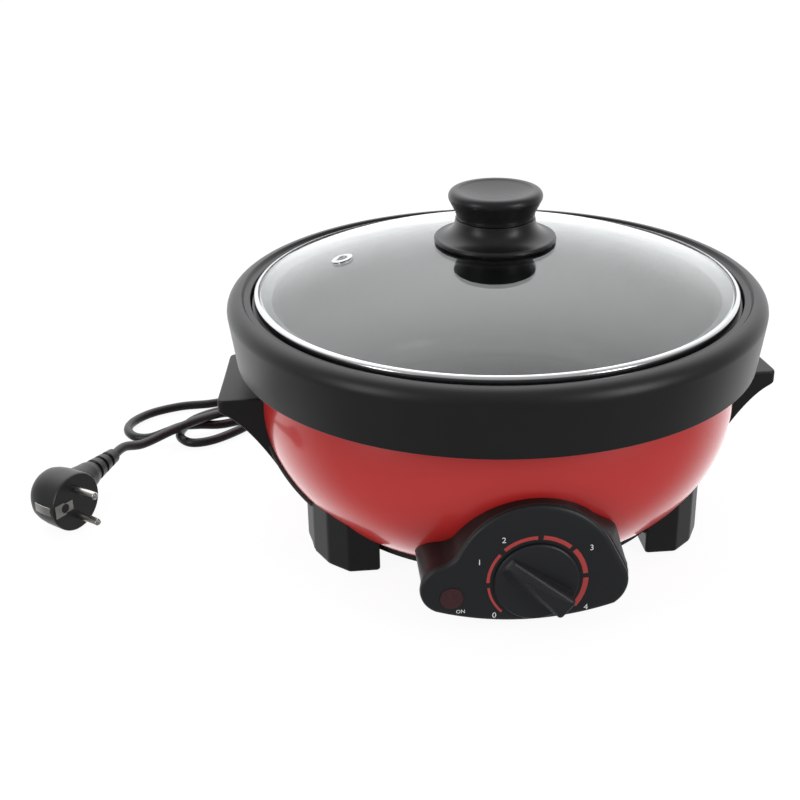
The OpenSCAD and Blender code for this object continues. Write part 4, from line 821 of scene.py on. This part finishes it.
def grip_points():
    """The finger grip: its plan tapers from tail to tip. Each ring up from the disc is drawn in by e to soften the top
    edge, and its left flank spreads towards the disc by the depth below the top to the power 1.6."""
    rows = []
    for e, h in ((-0.5, 0), (-0.1, 0.6), (0.0, 1.5), (0.1, 3.1), (0.2, 5.1), (0.35, 7.7), (0.6, 9.1), (0.95, 9.9),
                 (1.4, 10.3), (2.0, GRIP_H)):
        flank = 6.0 * (1 - h / GRIP_H) ** 1.6
        plan = soften([[-3.6 + e - flank, 21.5 - e, 1.3], [3.8 - e, 21.5 - e, 1.3], [7.4 - e, -22.0 + e, 1.8],
                       [-7.4 + e - 0.4 * flank, -22.0 + e, 1.8]], 6)
        rows.append(raised(plan, h))
    middle = np.array([0, -1.0])
    flat_top = raised(middle + (plan - middle) * 0.5, GRIP_H)
    end = 0 * flat_top + [*middle, GRIP_ROOT + GRIP_H]
    return np.stack(rows + [flat_top, end], 1)


pointer = math.radians(50)          # the narrow end stands this far round to the left from straight up
spin = np.array([[math.cos(pointer), math.sin(pointer)], [-math.sin(pointer), math.cos(pointer)]])


def on_dial(g):
    """From the dial's own plane to the panel: plan x and y turned to the pointer, height out of the panel."""
    xz = g[..., :2] @ spin
    return np.stack([xz[..., 0], -g[..., 2], DIAL[1] + xz[..., 1]], -1)


dial_parts = [(on_dial(turned(disc, 120)), *LATHE), (on_dial(grip_points()), *ROUNDED)]
object_of("heat_dial", skin(dial_parts), "dial", "panel_plastic", dial_black, "control_dial", crisp=38)

# ---------------------------------------------------------------- lid glass
# Tempered glass, 4 mm, slumped to a shallow dome, drilled for the vent and the
# knob's screw.

DOME_R, SEAT_Z, LID_R, GLASS = 387.0, 146.0, 150.0, 4.0
DOME_Z = SEAT_Z + 6 - math.sqrt((DOME_R + 0.7) ** 2 - LID_R ** 2)


def dome_at(radius, at):
    """Height of a sphere about the dome's centre, at a distance from the axis."""
    return DOME_Z + np.sqrt(radius ** 2 - np.asarray(at, float) ** 2)


# Soda-lime glass: clear and bright, with a faint bloom of dried steam in broad clouds
pane, tree, spot = fresh_material("tempered_glass")
smear = node(tree, "ShaderNodeTexNoise", Vector=spot, Scale=0.015, Detail=4.0, Roughness=0.6).outputs["Fac"]
rough = node(tree, "ShaderNodeMapRange", Value=smear, i1=0.45, i2=0.7, i3=0.0, i4=0.05).outputs[0]
close_material(tree, node(
    tree, "ShaderNodeBsdfPrincipled", Base_Color=linear("#F4F8F7"), Roughness=rough, IOR=1.5, Transmission_Weight=1.0))
run = np.linspace(3.6, 149.25, 60)
upper, lower = (np.stack([run, dome_at(radius, run)], -1) for radius in (DOME_R, DOME_R - GLASS))
dome_glass = turned(np.vstack([upper, lower[::-1]]), 256)
object_of("lid_dome_glass", skin([(dome_glass, *LATHE)]), "lid", "lid_glass", pane, "lid_glass", crisp=50)

# ---------------------------------------------------------------- lid rim
# Stainless strip rolled round the glass's edge and folded over it on top and
# under. Polished: mirror-like, with faint rolling marks along the strip.

steel, tree, spot = fresh_material("polished_stainless")
along = node(tree, "ShaderNodeMapping", Vector=spot, Scale=(0.08, 0.08, 2.0)).outputs["Vector"]
rolled = node(tree, "ShaderNodeTexNoise", Vector=along, Scale=1.0, Detail=4.0).outputs["Fac"]
tone = node(tree, "ShaderNodeMix", {"data_type": "RGBA"}, Factor=rolled, i6=linear("#C6C7C8"), i7=linear("#DADADA"))
rough = node(tree, "ShaderNodeMapRange", Value=rolled, i3=0.16, i4=0.28).outputs[0]
close_material(tree, node(tree, "ShaderNodeBsdfPrincipled", Base_Color=tone.outputs[2], Metallic=1.0, Roughness=rough))
over = np.array([147.3, 148.0, 148.8])
below = np.array([149.2, 148.2, 146.5, 144.5])
top_fold = np.stack([over, dome_at(DOME_R + 0.7, over) - [0.15, 0, 0]], -1)
outside = [[149.5, 151.95], [149.85, 151.6], [LID_R, 151.1], [LID_R, 146.6], [149.8, 146.15], [149.5, SEAT_Z],
           [149.2, 146.15]]
under_fold = np.stack([below, dome_at(DOME_R - 4.7, below)], -1)
on_glass = np.vstack([np.stack([below, dome_at(DOME_R - 4.1, below)], -1)[::-1], [[149.35, 147.6], [149.4, 150.9]],
                      np.stack([over, dome_at(DOME_R + 0.1, over)], -1)[::-1]])
band = turned(np.vstack([top_fold, outside, under_fold, on_glass]), 320)
object_of("lid_steel_rim", skin([(band, *LATHE)]), "lid", "rim_steel", steel, "lid_rim_band", crisp=45)

# ---------------------------------------------------------------- steam vent
# A stainless eyelet, pressed through the glass and flared over on both sides.

VENT_R, VENT_AZ = 94.7, math.radians(176)
tilt = math.asin(VENT_R / DOME_R)
vent_way = np.array([math.sin(tilt) * math.cos(VENT_AZ), math.sin(tilt) * math.sin(VENT_AZ), math.cos(tilt)])
eyelet = soften([[3.4, -4.9, 0.2], [5.8, -4.9, 0.3], [5.8, -4.1, 0.2], [4.6, -4.1, 0.1], [4.6, 0.02, 0.1],
                 [6.7, 0.02, 0.2], [6.7, 0.5, 0.3], [4.4, 0.8, 0.6], [3.4, 0.1, 0.6]], 4)
set_in = put(turned(eyelet, 56), [0, 0, DOME_Z] + DOME_R * vent_way, aim(vent_way, (0, 1, 0)))
object_of("vent_ring", skin([(set_in, *LATHE)]), "lid", "rim_steel", steel, "vent_eyelet", crisp=50)

# ---------------------------------------------------------------- knob
# Two mouldings in black heat-proof plastic: a flared skirt that sits on the
# glass and a mushroom cap with a shallow dish, held by one screw from below.

knob_black = moulded("satin_knob_plastic", "#151516", "#1C1C1E", 0.3, 0.42, grain=0.7, depth=0.0001, strength=0.3)
TOP_Z = DOME_Z + DOME_R
SEAM = TOP_Z + 12.9
SKIRT_R, FLARE_R, ROLL_R, BORE_R = 35.9, 11.3, 1.8, 2.7


def over_glass(at):
    """Radius and height of a point 0.02 mm off the glass."""
    return np.stack([at, dome_at(DOME_R + 0.02, at)], -1)


flare = arc((SKIRT_R, SEAM), FLARE_R, math.radians(180), math.radians(270), 20)
lip = arc((SKIRT_R, SEAM - FLARE_R - ROLL_R), ROLL_R, math.radians(90), math.radians(-60), 10)
skirt = np.vstack([[[20.6, SEAM - 0.05], [24.2, SEAM - 0.05], [24.55, SEAM - 0.35]], flare[1:], lip[1:],
                   over_glass(np.append(np.linspace(36.6, 33.0, 4), 20.6))])
core = soften([[*over_glass(BORE_R), 0], [*over_glass(9), 0], [9, SEAM - 8, 1], [20.9, SEAM - 8, 0],
               [20.9, SEAM - 5, 0], [BORE_R, SEAM - 5, 0]], 3)
object_of("knob_flared_skirt", skin([(turned(skirt, 128), *LATHE), (turned(core, 64), *LATHE)]),
          "lid", "black_plastic", knob_black, "knob_skirt", crisp=40)

CAP_TOP, DISH_R = SEAM + 17.5, 22.1
neck = [[0, SEAM + 6], [19.5, SEAM + 6], [20, SEAM + 0.1], [23.6, SEAM + 0.1], [24.1, SEAM + 0.5], [24.2, SEAM + 2],
        [24.6, SEAM + 4]]
side = arc((24.9, CAP_TOP - 4), 4.0, math.radians(-25), math.radians(90), 14)
brim = [[24.2, CAP_TOP], [23.2, CAP_TOP - 0.03], [22.6, CAP_TOP - 0.22]]
dish_r = np.linspace(DISH_R, 0, 16)
dish = np.stack([dish_r, CAP_TOP - 3.4 + 2.8 * (dish_r / DISH_R) ** 2], -1)
cap = turned(np.vstack([neck, side[:-1], brim, dish]), 128)
object_of("knob_mushroom_cap", skin([(cap, *LATHE)]), "lid", "black_plastic", knob_black, "knob_cap",
          crisp=40)

# ---------------------------------------------------------------- screws and the parts inside
# Zinc-plated case screws, the thermostat, the heating ring under the pan with
# its clamps, the sensor, the fuse and the terminal block.


def dull_metal(name, code, low, high):
    """A dull plated or drawn metal: tarnish in clouds of about 4 mm, which also roughen and dent it a little."""
    made, tree, spot = fresh_material(name)
    cloud = node(tree, "ShaderNodeTexNoise", Vector=spot, Scale=0.25, Detail=5.0, Roughness=0.65).outputs["Fac"]
    tone = node(tree, "ShaderNodeMix", {"data_type": "RGBA"}, Factor=cloud, i6=linear(code), i7=linear("#8F9092"))
    rough = node(tree, "ShaderNodeMapRange", Value=cloud, i3=low, i4=high).outputs[0]
    dent = node(tree, "ShaderNodeBump", Height=cloud, Strength=0.2, Distance=0.0001).outputs[0]
    close_material(tree, node(
        tree, "ShaderNodeBsdfPrincipled", Base_Color=tone.outputs[2], Metallic=1.0, Roughness=rough, Normal=dent))
    return made


screw_zinc = dull_metal("zinc_plated_steel", "#B8BABC", 0.25, 0.42)
heater_steel = dull_metal("oxidised_heater_steel", "#55555A", 0.4, 0.6)
bare_alu = dull_metal("mill_aluminium", "#C2C3C5", 0.3, 0.5)
cream = moulded("cream_heatproof_plastic", "#B9AE90", "#C9BFA4", 0.45, 0.6)

# Lamp glass: clear and bright, tinted by its warm filling
neon, tree, spot = fresh_material("lamp_glass")
haze = node(tree, "ShaderNodeTexNoise", Vector=spot, Scale=0.5).outputs["Fac"]
rough = node(tree, "ShaderNodeMapRange", Value=haze, i3=0.02, i4=0.1).outputs[0]
close_material(tree, node(
    tree, "ShaderNodeBsdfPrincipled", Base_Color=linear("#E8C0A8"), Transmission_Weight=0.9, IOR=1.47, Roughness=rough))

finished(screw_zinc, "base_screws", "foot_screws", "handle_screws", "panel_screws", "knob_screw", "thermostat_shaft")
finished(rubber, "knob_washer")
finished(heater_steel, "heating_element")
finished(bare_alu, "element_clamps", "thermostat_sensor", "thermal_fuse")
finished(cream, "thermostat_body", "terminal_block")
finished(neon, "neon_lamp")
